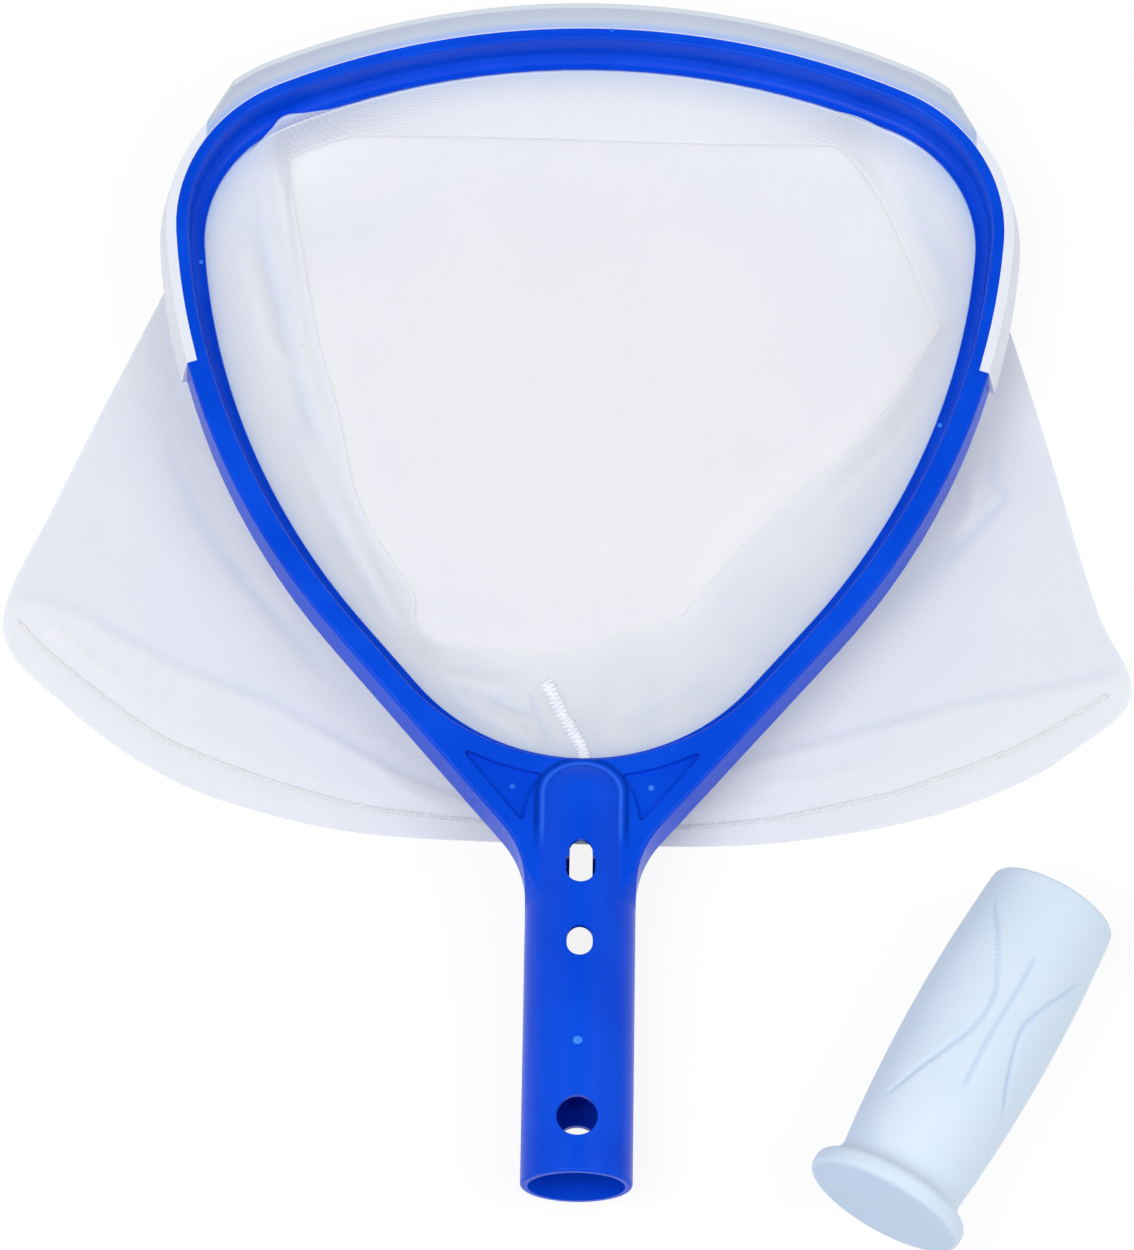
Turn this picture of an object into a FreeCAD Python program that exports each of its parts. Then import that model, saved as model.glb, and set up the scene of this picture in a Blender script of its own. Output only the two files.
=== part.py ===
"""Leaf skimmer net: moulded ring with a handle spigot, scoop lip, mesh bag and rubber hand grip.

Millimetres. The origin is the centre of the handle's free end, on the handle's axis. +Y runs up the
handle to the far edge of the ring, +Z points out of the mouth of the bag and +X to the right.
"""
import FreeCAD, Part

import math
import os

import Sketcher

Vector = FreeCAD.Vector

# Driving dimensions; cuts run past what they cut by the margin below

CUT_MARGIN = 6.0

VALUES = {
    # ring outline, seen from the front: tangent arcs, mirrored about the Y axis
    "top_edge": 328.5,
    "top_radius": 208.7,
    "top_turn": 24.4,
    "corner_radius": 47.8,
    "corner_turn": 95.24,
    "side_radius": 206.5,
    "side_turn": 130.4,
    "neck_radius": 26.0,
    "skirt_end": 66.0,
    "blend_start": 73.5,
    "blend_foot_radius": 15.2,
    "blend_foot": 77.0,
    "blend_top_radius": 21.0,
    "blend_top": 90.0,
    "mouth_low": 111.794,
    # ring section
    "front_face": 10.05,
    "rim_width": 5.75,
    "plate_thickness": 2.8,
    "wall_thickness": 1.9,
    "inner_back": -1.9,
    "outer_back": -1.5,
    "outer_flare": 0.85,
    "inner_draft": 0.6,
    "ledge_top": 0.0,
    "ledge_inset": 9.6,
    "cove_radius": 3.0,
    "edge_round": 0.9,
    # rebate for the scoop lip
    "rebate_width": 2.7,
    "notch_turn": 106.2,
    "notch_wall_turn": 1.2,
    # scoop lip
    "blade_rise": 6.5,
    "blade_flare": 1.5,
    "lip_flare": 2.4,
    "blade_edge": 1.4,
    "blade_hollow": 0.35,
    "ramp_start": 97.0,
    "ramp_end": 104.7,
    # handle tube
    "tube_radius": 14.25,
    "tube_wall": 1.9,
    "tube_end_drop": 0.35,
    "dome_centre": 102.3,
    "dome_depth": 11.0,
    "bore_depth": 98.0,
    "tube_mouth_round": 0.8,
    "dome_valley": 2.2,
    # holes of the handle
    "slot_start": 76.65,
    "slot_shoulder": 83.6,
    "slot_end": 88.2,
    "slot_wide": 7.5,
    "slot_narrow": 6.0,
    "short_slot_centre": 60.9,
    "short_slot_width": 6.6,
    "short_slot_length": 8.0,
    "button_centre": 14.6,
    "button_radius": 5.25,
    "window_start": 64.0,
    "window_shoulder": 82.0,
    "window_end": 99.0,
    "window_wide": 9.0,
    "window_narrow": 6.0,
    "relief_start": 24.3,
    "relief_width": 3.6,
    "relief_depth": 0.8,
    "relief_overlap": 4.0,
    # recessed gussets beside the handle
    "gusset_depth": 1.6,
    "gusset_margin": 5.0,
    "gusset_top_gap": 0.2,
    "gusset_outer": 32.6,
    "gusset_gap": 3.7,
    "gusset_gap_drop": 0.9,
    "gusset_low_gap": 5.3,
    "gusset_low_drop": 8.7,
    "gusset_corner": 0.8,
    # mesh bag
    "panel_thickness": 0.8,
    "bag_clearance": 0.1,
    "fold_inset": 16.75,
    "fold_shift_x": 4.0,
    "fold_shift_y": 8.0,
    "bag_wall_run": 2.0,
    "seam_width": 2.6,
    "seam_height": 0.6,
    "back_seam_width": 5.3,
    "back_seam_margin": 2.0,
    "back_seam_lift": 0.25,
    # hand grip
    "grip_length": 94.6,
    "grip_flange_thickness": 6.1,
    "grip_flange_radius": 20.9,
    "grip_neck_radius": 16.4,
    "grip_belly": 58.0,
    "grip_belly_radius": 18.85,
    "grip_mouth_radius": 17.1,
    "grip_bore_clearance": 0.15,
    "grip_bore_depth": 80.0,
    "grip_dome": 0.9,
    "grip_round": 1.2,
    "grip_flange_round": 1.5,
    "grip_neck_rise": 4.0,
    "grip_neck_hollow": 1.2,
    "grip_turn": 28.5,
    "grip_flange_x": 76.45,
    "grip_flange_y": -6.6,
}

# Bag outline on the table, going round clockwise from the far left, chosen points of a smooth loop

BAG_OUTLINE = [
    (-100.5, 293.0), (-116.0, 256.3), (-142.1, 193.8), (-154.6, 156.5), (-135.4, 133.1),
    (-111.0, 115.6), (-86.9, 106.0), (-54.0, 99.3), (0.0, 95.6), (44.3, 97.9), (83.6, 104.4),
    (110.0, 113.8), (128.5, 125.0), (145.0, 142.0), (135.9, 167.5), (122.1, 221.0),
    (109.0, 267.0), (101.0, 292.0), (82.0, 308.0), (43.0, 321.0), (0.0, 325.8), (-43.0, 321.0),
    (-82.0, 308.0),
]

# Line of the closed end's seam, left half and right half as arcs through three points each

END_SEAM = [
    ((-150.4, 157.6), (-123.8, 133.8), (-82.6, 113.9)),
    ((-82.6, 113.9), (-36.0, 104.2), (12.0, 101.4)),
    ((12.0, 101.4), (73.2, 109.6), (138.7, 141.0)),
]

doc = FreeCAD.newDocument("LeafSkimmerNet")
sheet = doc.addObject("Spreadsheet::Sheet", "Dimensions")


def fill_sheet():
    """Write every driving dimension into the sheet under its own name."""
    for row, (name, value) in enumerate(VALUES.items(), start=1):
        sheet.set(f"A{row}", name)
        sheet.set(f"B{row}", str(value))
        sheet.setAlias(f"B{row}", name)
    doc.recompute()


fill_sheet()


def dim(name):
    """Return a driving dimension from the sheet as a plain number."""
    return float(sheet.get(name))


def bind(item, prop, expression):
    """Bind a property to an expression in which the sheet's names are written as @name."""
    item.setExpression(prop, expression.replace("@", "Dimensions."))


def new_body(label):
    """Start a body that becomes one named piece."""
    body = doc.addObject("PartDesign::Body", label.title().replace("_", ""))
    body.Label = label
    return body


def origin_item(body, role):
    """Find an origin plane or axis of a body by its role."""
    return next(item for item in body.Origin.OriginFeatures if item.Role == role)


def new_sketch(body, name, role="XY_Plane", height=None):
    """Attach a sketch to one of the body's own planes, lifted by an expression."""
    sketch = body.newObject("Sketcher::SketchObject", name)
    sketch.AttachmentSupport = (origin_item(body, role), "")
    sketch.MapMode = "FlatFace"
    if height:
        bind(sketch, "AttachmentOffset.Base.z", height)
    return sketch


def round_edge(start, middle, end):
    """Arc of a circle from one point through a second to a third."""
    edge = Part.Arc(start, middle, end).toShape()
    return Part.ArcOfCircle(edge.Curve, edge.FirstParameter, edge.LastParameter)


def reverse_edge(edge):
    """The same edge run the other way."""
    if isinstance(edge, Part.LineSegment):
        return Part.LineSegment(edge.EndPoint, edge.StartPoint)
    middle = edge.value((edge.FirstParameter + edge.LastParameter) / 2)
    return round_edge(edge.EndPoint, middle, edge.StartPoint)


def anticlockwise(edge):
    """The edge as a sketch keeps it: arcs of circles run anticlockwise."""
    if isinstance(edge, Part.ArcOfCircle) and edge.Axis.z < 0:
        return reverse_edge(edge)
    return edge


def end_number(edge, point):
    """Number of the edge's end that lies at a point, 1 for its start and 2 for its end."""
    return 1 if (edge.StartPoint - point).Length < 1e-6 else 2


def add_loop(sketch, edges, closed=True):
    """Add a chain of edges whose ends meet, joined by coincident constraints."""
    first = sketch.GeometryCount
    laid = [anticlockwise(edge) for edge in edges]
    sketch.addGeometry(laid, False)
    joints = len(edges) if closed else len(edges) - 1
    for step in range(joints):
        after = (step + 1) % len(edges)
        point = edges[step].EndPoint
        here, there = end_number(laid[step], point), end_number(laid[after], point)
        meeting = Sketcher.Constraint("Coincident", first + step, here, first + after, there)
        sketch.addConstraint(meeting)
    return first


def fix_radius(sketch, index, expression):
    """Give an arc or circle of a sketch a radius bound to the sheet."""
    name = f"radius{index}"
    radius = sketch.Geometry[index].Radius
    number = sketch.addConstraint(Sketcher.Constraint("Radius", index, radius))
    sketch.renameConstraint(number, name)
    bind(sketch, f"Constraints.{name}", expression)


def line(start, end):
    """Straight edge between two points."""
    return Part.LineSegment(Vector(*start), Vector(*end))


def arc(start, middle, end):
    """Round edge through three points."""
    return round_edge(Vector(*start), Vector(*middle), Vector(*end))


def polygon(points):
    """Closed chain of straight edges."""
    return [line(here, after) for here, after in zip(points, points[1:] + points[:1])]


def pad(body, name, sketch, length, reverse=False, both=False):
    """Pad a sketch by a length bound to the sheet."""
    feature = body.newObject("PartDesign::Pad", name)
    feature.Profile = sketch
    feature.Reversed = reverse
    feature.Midplane = both
    bind(feature, "Length", length)
    return feature


def pocket(body, name, sketch, length, reverse=False, both=False):
    """Cut a sketch by a length bound to the sheet and check that it removed material."""
    doc.recompute()
    before = body.Shape.Volume
    feature = body.newObject("PartDesign::Pocket", name)
    feature.Profile = sketch
    feature.Reversed = reverse
    feature.Midplane = both
    bind(feature, "Length", length)
    doc.recompute()
    if body.Shape.Volume > before - 0.01:
        raise RuntimeError(f"{name} removed nothing")
    return feature


def loft(body, kind, name, sketches):
    """Ruled loft between two sketches, additive or subtractive."""
    feature = body.newObject(f"PartDesign::{kind}Loft", name)
    feature.Profile = sketches[0]
    feature.Sections = sketches[1:]
    feature.Ruled = True
    return feature


def revolve(body, name, sketch, kind="Revolution"):
    """Turn a sketch a full turn about its own vertical axis."""
    feature = body.newObject(f"PartDesign::{kind}", name)
    feature.Profile = sketch
    feature.ReferenceAxis = (sketch, ["V_Axis"])
    feature.Angle = 360.0
    return feature


def edge_names(shape, test):
    """Names of the edges on which four points, spread from end to end, all pass a test."""
    names = []
    for number, edge in enumerate(shape.Edges, start=1):
        span = edge.LastParameter - edge.FirstParameter
        points = [edge.valueAt(edge.FirstParameter + share * span) for share in (0.02, 0.35, 0.65, 0.98)]
        if all(test(point) for point in points):
            names.append(f"Edge{number}")
    return names


def round_edges(body, name, radius, test):
    """Round the edges of the body's tip that pass a test."""
    doc.recompute()
    base = body.Tip
    names = edge_names(base.Shape, test)
    if not names:
        raise RuntimeError(f"{name} found no edges")
    feature = body.newObject("PartDesign::Fillet", name)
    feature.Base = (base, names)
    bind(feature, "Radius", radius)
    doc.recompute()
    return feature


# Ring outline: points and arcs on the outer contour, moved inwards by an inset


def outward(turn):
    """Outward direction of the contour where it has turned this many degrees from the top."""
    angle = math.radians(turn)
    return Vector(math.sin(angle), math.cos(angle), 0)


TOP_CENTRE = Vector(0, dim("top_edge") - dim("top_radius"), 0)
CORNER_CENTRE = TOP_CENTRE + outward(dim("top_turn")) * (dim("top_radius") - dim("corner_radius"))
SIDE_CENTRE = CORNER_CENTRE + outward(dim("corner_turn")) * (dim("corner_radius") - dim("side_radius"))


def ring_stretches():
    """The contour's arcs on the right: centre, radius name, first turn and last turn."""
    return [
        (TOP_CENTRE, "top_radius", 0.0, dim("top_turn")),
        (CORNER_CENTRE, "corner_radius", dim("top_turn"), dim("corner_turn")),
        (SIDE_CENTRE, "side_radius", dim("corner_turn"), dim("side_turn")),
    ]


def ring_point(turn, inset=0.0):
    """Point of the contour at a turn angle, negative on the left, moved inwards by the inset."""
    for centre, radius, _, last in ring_stretches():
        if abs(turn) <= last + 1e-9:
            point = centre + outward(abs(turn)) * (dim(radius) - inset)
            return Vector(math.copysign(point.x, turn) if turn else 0.0, point.y, 0)
    raise ValueError("the contour has no such turn")


def ring_arcs(first, last, inset=0.0):
    """Arcs of the contour from one turn angle to a larger one."""
    limits = [dim("top_turn"), dim("corner_turn")]
    breaks = sorted([-limit for limit in limits] + limits)
    turns = [first] + [turn for turn in breaks if first < turn < last] + [last]
    return [
        round_edge(ring_point(a, inset), ring_point((a + b) / 2, inset), ring_point(b, inset))
        for a, b in zip(turns, turns[1:])
    ]


def mirrored(edges):
    """The same chain on the left, in the opposite order and direction."""
    result = []
    for edge in reversed(edges):
        start, end = edge.EndPoint, edge.StartPoint
        if isinstance(edge, Part.LineSegment):
            result.append(line((-start.x, start.y), (-end.x, end.y)))
        else:
            middle = edge.value((edge.FirstParameter + edge.LastParameter) / 2)
            result.append(arc((-start.x, start.y), (-middle.x, middle.y), (-end.x, end.y)))
    return result


def neck_edges(inset, tube_side, radius):
    """Arm edge from the side arc to the tube: a straight run and the concave arc onto the tube."""
    normal = outward(dim("side_turn"))
    start = ring_point(dim("side_turn"), inset)
    centre_x = tube_side + radius
    centre_y = (normal.dot(start) + radius - normal.x * centre_x) / normal.y
    touch = Vector(centre_x, centre_y, 0) - normal * radius
    half = outward((dim("side_turn") + 90.0) / 2)
    middle = Vector(centre_x, centre_y, 0) - half * radius
    end = Vector(tube_side, centre_y, 0)
    return [Part.LineSegment(start, touch), round_edge(touch, middle, end)]


def mouth_centre():
    """Centre of the mouth's bottom arc, touching both arms with its lowest point where it is set."""
    normal = outward(dim("side_turn"))
    start = ring_point(dim("side_turn"), dim("rim_width"))
    return Vector(0, (dim("mouth_low") + normal.dot(start)) / (1 + normal.y), 0)


def mouth_neck_edges(inset):
    """Mouth edge from the side arc to the left side arc: straight run, bottom arc, straight run."""
    normal = outward(dim("side_turn"))
    start = ring_point(dim("side_turn"), inset)
    centre = mouth_centre()
    radius = normal.dot(start) - normal.dot(centre)
    touch = centre + normal * radius
    run = [Part.LineSegment(start, touch)]
    bottom = round_edge(touch, centre - Vector(0, radius, 0), Vector(-touch.x, touch.y, 0))
    return run + [bottom] + mirrored(run)


def skirt_outline(inset):
    """Closed outline of the ring with a plain skirt where the arms and the neck are cut later."""
    turn = dim("side_turn")
    low = dim("skirt_end")
    right = ring_point(turn, inset)
    skirt = [
        line((right.x, right.y), (right.x, low)),
        line((right.x, low), (-right.x, low)),
        line((-right.x, low), (-right.x, right.y)),
    ]
    return ring_arcs(-turn, turn, inset) + skirt


def outside_arm(inset):
    """Closed outline of what lies outside the right arm and the neck."""
    neck = neck_edges(inset, dim("tube_radius"), dim("neck_radius"))
    start = neck[0].StartPoint
    end = neck[-1].EndPoint
    past = start.x + CUT_MARGIN
    low = dim("skirt_end") - CUT_MARGIN
    return neck + [
        line((end.x, end.y), (end.x, low)),
        line((end.x, low), (past, low)),
        line((past, low), (past, start.y)),
        line((past, start.y), (start.x, start.y)),
    ]


def mouth_outline(inset):
    """Closed outline of the mouth."""
    turn = dim("side_turn")
    return ring_arcs(-turn, turn, inset) + mouth_neck_edges(inset)


def channel_outline(outer_inset, inner_inset, tube_side):
    """Closed outline of the channel from one notch round the neck to the other."""
    notch = dim("notch_turn") + dim("notch_wall_turn")
    turn = dim("side_turn")
    right_outer = ring_arcs(notch, turn, outer_inset)
    neck = neck_edges(outer_inset, tube_side, dim("neck_radius") + outer_inset)
    end = neck[-1].EndPoint
    across = line((end.x, end.y), (-end.x, end.y))
    right = right_outer + neck
    left_end = ring_point(-notch, outer_inset)
    left_inner = ring_point(-notch, inner_inset)
    right_inner = ring_point(notch, inner_inset)
    right_start = ring_point(notch, outer_inset)
    inner_right = ring_arcs(notch, turn, inner_inset)
    inner = mirrored(inner_right)
    inner_back = mouth_neck_edges(inner_inset)
    backwards = [reverse_edge(edge) for edge in reversed(inner_back)]
    left_side = [reverse_edge(edge) for edge in reversed(inner)]
    right_side = [reverse_edge(edge) for edge in reversed(inner_right)]
    return (
        right
        + [across]
        + mirrored(right)
        + [Part.LineSegment(left_end, left_inner)]
        + left_side
        + backwards
        + right_side
        + [Part.LineSegment(right_inner, right_start)]
    )


def mouth_inset(height):
    """Inset of the mouth wall at a height, from its draft."""
    depth = dim("front_face") - dim("inner_back")
    return dim("rim_width") + dim("inner_draft") * (dim("front_face") - height) / depth


def on_outline(edges, height, both_sides=False):
    """Make a test for points that lie on an outline at a height."""
    wire = Part.Wire([edge.toShape() for edge in edges])
    wire.translate(Vector(0, 0, height))

    def test(point):
        seen = Vector(abs(point.x), point.y, point.z) if both_sides else point
        return Part.Vertex(seen).distToShape(wire)[0] < 0.02

    return test


# Frame: ring, arms, neck and handle tube in one moulding


def build_frame():
    """Mould the ring as a drafted block, hollow its back, add the handle tube and cut the arms."""
    body = new_body("frame")
    front = dim("front_face")
    tube = dim("tube_radius")
    wall = dim("wall_thickness")
    flare = dim("outer_flare")
    front_sketch = new_sketch(body, "FrontOutline", height="@front_face")
    add_loop(front_sketch, skirt_outline(0.0))
    fix_radius(front_sketch, 2, "@top_radius")
    back_sketch = new_sketch(body, "BackOutline", height="@inner_back")
    add_loop(back_sketch, skirt_outline(-flare))
    loft(body, "Additive", "Block", [front_sketch, back_sketch])

    trim = new_sketch(body, "BackTrim", height="@inner_back")
    add_loop(trim, mouth_outline(dim("rim_width") - wall))
    side = ring_point(90.0, -CUT_MARGIN).x
    low, high = dim("skirt_end") - CUT_MARGIN, dim("top_edge") + CUT_MARGIN
    add_loop(trim, polygon([(-side, low), (side, low), (side, high), (-side, high)]))
    pocket(body, "OuterWallEnd", trim, "@outer_back - @inner_back", reverse=True)

    channel = new_sketch(body, "ChannelOutline", height="@inner_back")
    add_loop(channel, channel_outline(wall, dim("rim_width") - wall, tube - wall))
    pocket(body, "Channel", channel, "@front_face - @plate_thickness - @inner_back", reverse=True)

    rebate = new_sketch(body, "RebateOutline", height="@front_face")
    notch = dim("notch_turn")
    seat = ring_arcs(-notch, notch, dim("rebate_width"))
    outside = ring_arcs(-notch, notch, -CUT_MARGIN)
    right = Part.LineSegment(seat[-1].EndPoint, outside[-1].EndPoint)
    left = Part.LineSegment(outside[0].StartPoint, seat[0].StartPoint)
    add_loop(rebate, seat + [right] + [reverse_edge(edge) for edge in reversed(outside)] + [left])
    pocket(body, "Rebate", rebate, "@front_face - @inner_back")

    tube_sketch = new_sketch(body, "TubeProfile")
    end = tube - dim("tube_end_drop")
    dome_foot = dim("dome_centre")
    dome = Part.Ellipse(Vector(0, dome_foot, 0), end, dim("dome_depth"))
    add_loop(tube_sketch, [
        line((0, 0), (tube, 0)),
        line((tube, 0), (tube, dim("blend_start"))),
        line((tube, dim("blend_start")), (end, dome_foot)),
        Part.ArcOfEllipse(dome, 0, math.pi / 2),
        line((0, dome_foot + dim("dome_depth")), (0, 0)),
    ])
    revolve(body, "TubeAndDome", tube_sketch)
    round_edges(body, "DomeValley", "@dome_valley", valley_test())
    cut_arms(body)

    over = front + 1.0
    ledge = dim("ledge_top")
    mouth_front = new_sketch(body, "MouthFront", height="@front_face + 1")
    add_loop(mouth_front, mouth_outline(mouth_inset(over)))
    mouth_low = new_sketch(body, "MouthLow", height="@ledge_top")
    add_loop(mouth_low, mouth_outline(mouth_inset(ledge)))
    loft(body, "Subtractive", "Mouth", [mouth_front, mouth_low])
    inside = new_sketch(body, "LedgeInside", height="@front_face")
    add_loop(inside, mouth_outline(dim("ledge_inset")))
    pocket(body, "LedgeOpening", inside, "@front_face + @tube_radius + 1")
    round_edges(body, "Cove", "@cove_radius", on_outline(mouth_outline(mouth_inset(ledge)), ledge))

    bore = new_sketch(body, "BoreCircle", "XZ_Plane")
    bore.addGeometry(Part.Circle(Vector(0, 0, 0), Vector(0, 0, 1), tube - dim("tube_wall")), False)
    fix_radius(bore, 0, "@tube_radius - @tube_wall")
    pocket(body, "Bore", bore, "@bore_depth", reverse=False)
    add_handle_holes(body)
    add_gussets(body)

    round_edges(body, "MouthEdge", "@edge_round", on_outline(mouth_outline(dim("rim_width")), front))
    arm = ring_arcs(dim("notch_turn"), dim("side_turn"))
    round_edges(body, "ArmEdge", "@edge_round", on_outline(arm, front, both_sides=True))
    round_edges(body, "TubeMouthEdge", "@tube_mouth_round",
                lambda point: abs(point.y) < 0.01 and math.hypot(point.x, point.z) > tube - 0.01)
    return body


def cut_arms(body):
    """Cut the skirt away outside both arms, then blend the neck onto the tube."""
    for sign, name in ((1, "Right"), (-1, "Left")):
        front_sketch = new_sketch(body, f"{name}ArmFront", height="@front_face + 1")
        back_sketch = new_sketch(body, f"{name}ArmBack", height="@inner_back - 1")
        depth = dim("front_face") - dim("inner_back")
        slope = dim("outer_flare") / depth
        for sketch, inset in ((front_sketch, slope), (back_sketch, -dim("outer_flare") - slope)):
            edges = outside_arm(inset)
            add_loop(sketch, edges if sign > 0 else mirrored(edges))
        loft(body, "Subtractive", f"Outside{name}Arm", [front_sketch, back_sketch])
    tube = dim("tube_radius")
    low = dim("skirt_end") - CUT_MARGIN
    outside = neck_edges(0.0, tube, dim("neck_radius"))[0].StartPoint.x
    blend = new_sketch(body, "NeckBlendProfile")
    add_loop(blend, polygon([
        (tube, low), (tube, dim("blend_start")), (dim("blend_foot_radius"), dim("blend_foot")),
        (dim("blend_top_radius"), dim("blend_top")), (outside, dim("blend_top")), (outside, low),
    ]))
    groove = revolve(body, "NeckBlend", blend, "Groove")
    groove.Refine = True


def handle_half_width():
    """Half the handle's width at its round end, where it comes out of the front plate."""
    end_radius = dim("tube_radius") - dim("tube_end_drop")
    return math.sqrt(end_radius ** 2 - dim("front_face") ** 2)


def valley_test():
    """Make a test for the line where the handle's round end meets the front plate."""
    narrow = handle_half_width() - 0.05
    wide = math.sqrt(dim("tube_radius") ** 2 - dim("front_face") ** 2) + 0.05
    centre = dim("dome_centre")

    def test(point):
        flat = abs(point.z - dim("front_face")) < 0.01
        beside = narrow < abs(point.x) < wide and point.y > dim("skirt_end") - 0.01
        round_end = point.y > centre - 0.01 and math.hypot(point.x, point.y - centre) < wide
        return flat and (beside or round_end)

    return test


def slot_loop(sketch, centre, width, length):
    """Add a slot that runs along the handle: two straight sides and two round ends."""
    half = width / 2
    reach = (length - width) / 2
    top, bottom = centre + reach, centre - reach
    add_loop(sketch, [
        line((half, bottom), (half, top)),
        arc((half, top), (0, top + half), (-half, top)),
        line((-half, top), (-half, bottom)),
        arc((-half, bottom), (0, bottom - half), (half, bottom)),
    ])


def stepped_slot_loop(sketch, name):
    """Add a slot along the handle that steps from its wide low part to its narrow upper part."""
    wide, narrow = dim(name + "_wide") / 2, dim(name + "_narrow") / 2
    bottom = dim(name + "_start") + wide
    shoulder = dim(name + "_shoulder")
    top = dim(name + "_end") - narrow
    add_loop(sketch, [
        line((wide, bottom), (wide, shoulder)),
        line((wide, shoulder), (narrow, shoulder)),
        line((narrow, shoulder), (narrow, top)),
        arc((narrow, top), (0, top + narrow), (-narrow, top)),
        line((-narrow, top), (-narrow, shoulder)),
        line((-narrow, shoulder), (-wide, shoulder)),
        line((-wide, shoulder), (-wide, bottom)),
        arc((-wide, bottom), (0, bottom - wide), (wide, bottom)),
    ])


def add_handle_holes(body):
    """Cut the three holes of the handle's front and the openings of its back."""
    slot = new_sketch(body, "SlotOutline")
    stepped_slot_loop(slot, "slot")
    pocket(body, "Slot", slot, "@tube_radius + 1", reverse=True)
    short = new_sketch(body, "ShortSlotOutline")
    slot_loop(short, dim("short_slot_centre"), dim("short_slot_width"), dim("short_slot_length"))
    pocket(body, "ShortSlot", short, "@tube_radius + 1", reverse=True)
    button = new_sketch(body, "ButtonCircle")
    centre = Vector(0, dim("button_centre"), 0)
    button.addGeometry(Part.Circle(centre, Vector(0, 0, 1), dim("button_radius")), False)
    fix_radius(button, 0, "@button_radius")
    pocket(body, "ButtonHole", button, "2 * @tube_radius + 2", both=True)
    window = new_sketch(body, "WindowOutline")
    stepped_slot_loop(window, "window")
    pocket(body, "RearWindow", window, "@tube_radius + 1")
    groove = new_sketch(body, "ReliefOutline")
    reach = dim("window_start") + dim("relief_overlap")
    middle = (dim("relief_start") + reach) / 2
    slot_loop(groove, middle, dim("relief_width"), reach - dim("relief_start"))
    pocket(body, "RearRelief", groove, "@tube_radius - @tube_wall + @relief_depth")


def gusset_loop(sign):
    """Outline of one recessed gusset: along the mouth, beside the round end, along the arm."""
    centre_y = mouth_centre().y
    upper_radius = centre_y - dim("mouth_low") + dim("gusset_margin")
    half_width = handle_half_width()
    upper_in, upper_out = half_width + dim("gusset_top_gap"), dim("gusset_outer")
    dome = dim("dome_centre")

    def upper(x):
        return (sign * x, centre_y - math.sqrt(upper_radius ** 2 - x ** 2))

    inner_top = upper(upper_in)
    inner_low = (sign * (half_width + dim("gusset_low_gap")), dome - dim("gusset_low_drop"))
    inner_middle = (sign * (half_width + dim("gusset_gap")), dome - dim("gusset_gap_drop"))
    outer_top = upper(upper_out)
    return [
        arc(outer_top, upper((upper_in + upper_out) / 2), inner_top),
        arc(inner_top, inner_middle, inner_low),
        line(inner_low, outer_top),
    ]


def add_gussets(body):
    """Sink the two gussets into the front plate and round their corners."""
    sketch = new_sketch(body, "GussetOutline", height="@front_face")
    for sign in (1, -1):
        add_loop(sketch, gusset_loop(sign))
    pocket(body, "Gussets", sketch, "@gusset_depth")
    floor = dim("front_face") - dim("gusset_depth")
    corners = [edge.StartPoint for sign in (1, -1) for edge in gusset_loop(sign)]

    def test(point):
        low = floor - 0.01 < point.z < dim("front_face") + 0.01
        return low and any(math.hypot(point.x - c.x, point.y - c.y) < 0.01 for c in corners)

    round_edges(body, "GussetCorners", "@gusset_corner", test)


# Scoop lip: a strip seated in the ring's rebate with a flared blade on its far part


def build_scoop_lip():
    """Sweep the lip's section along both halves of the contour, then cut the blade's ramps."""
    body = new_body("scoop_lip")
    front = dim("front_face")
    top = dim("top_edge")
    inner = top - dim("rebate_width")
    tip = front + dim("blade_rise")
    tip_out = top + dim("blade_flare")
    tip_in = tip_out - dim("blade_edge")
    hollow = dim("blade_hollow")
    foot = top + dim("lip_flare")
    profile = new_sketch(body, "LipSection", "YZ_Plane")
    add_loop(profile, [
        line((inner, dim("outer_back")), (foot, dim("outer_back"))),
        line((foot, dim("outer_back")), (top, front)),
        arc((top, front), (top + dim("blade_flare") * 0.3, (front + tip) / 2), (tip_out, tip)),
        line((tip_out, tip), (tip_in, tip)),
        arc((tip_in, tip), ((inner + tip_in) / 2 + hollow, (front + tip) / 2 - hollow), (inner, front)),
        line((inner, front), (inner, dim("outer_back"))),
    ])
    notch = dim("notch_turn")
    for side, name in ((1, "Right"), (-1, "Left")):
        path = new_sketch(body, f"{name}Path")
        arcs = ring_arcs(0.0, notch)
        if side < 0:
            arcs = [reverse_edge(edge) for edge in reversed(mirrored(arcs))]
        add_loop(path, arcs, closed=False)
        fix_radius(path, 0, "@top_radius")
        doc.recompute()
        sweep = body.newObject("PartDesign::AdditivePipe", f"{name}Lip")
        sweep.Profile = profile
        sweep.Spine = (path, [f"Edge{number}" for number in range(1, len(arcs) + 1)])
    ramp = new_sketch(body, "RampOutline", "XZ_Plane")
    past = ring_point(90.0, -CUT_MARGIN).x
    high = tip + CUT_MARGIN
    for sign in (1, -1):
        add_loop(ramp, polygon([
            (sign * dim("ramp_start"), tip + 0.001),
            (sign * dim("ramp_end"), front),
            (sign * past, front),
            (sign * past, high),
            (sign * dim("ramp_start"), high),
        ]))
    pocket(body, "Ramps", ramp, "@top_edge + @blade_flare + 1")
    return body


# Mesh bag


def bag_levels():
    """Heights of the table, the bottom panel's top and the upper panel's top."""
    top = -dim("tube_radius") - dim("bag_clearance")
    middle = top - dim("panel_thickness")
    return middle - dim("panel_thickness"), middle, top


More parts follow.
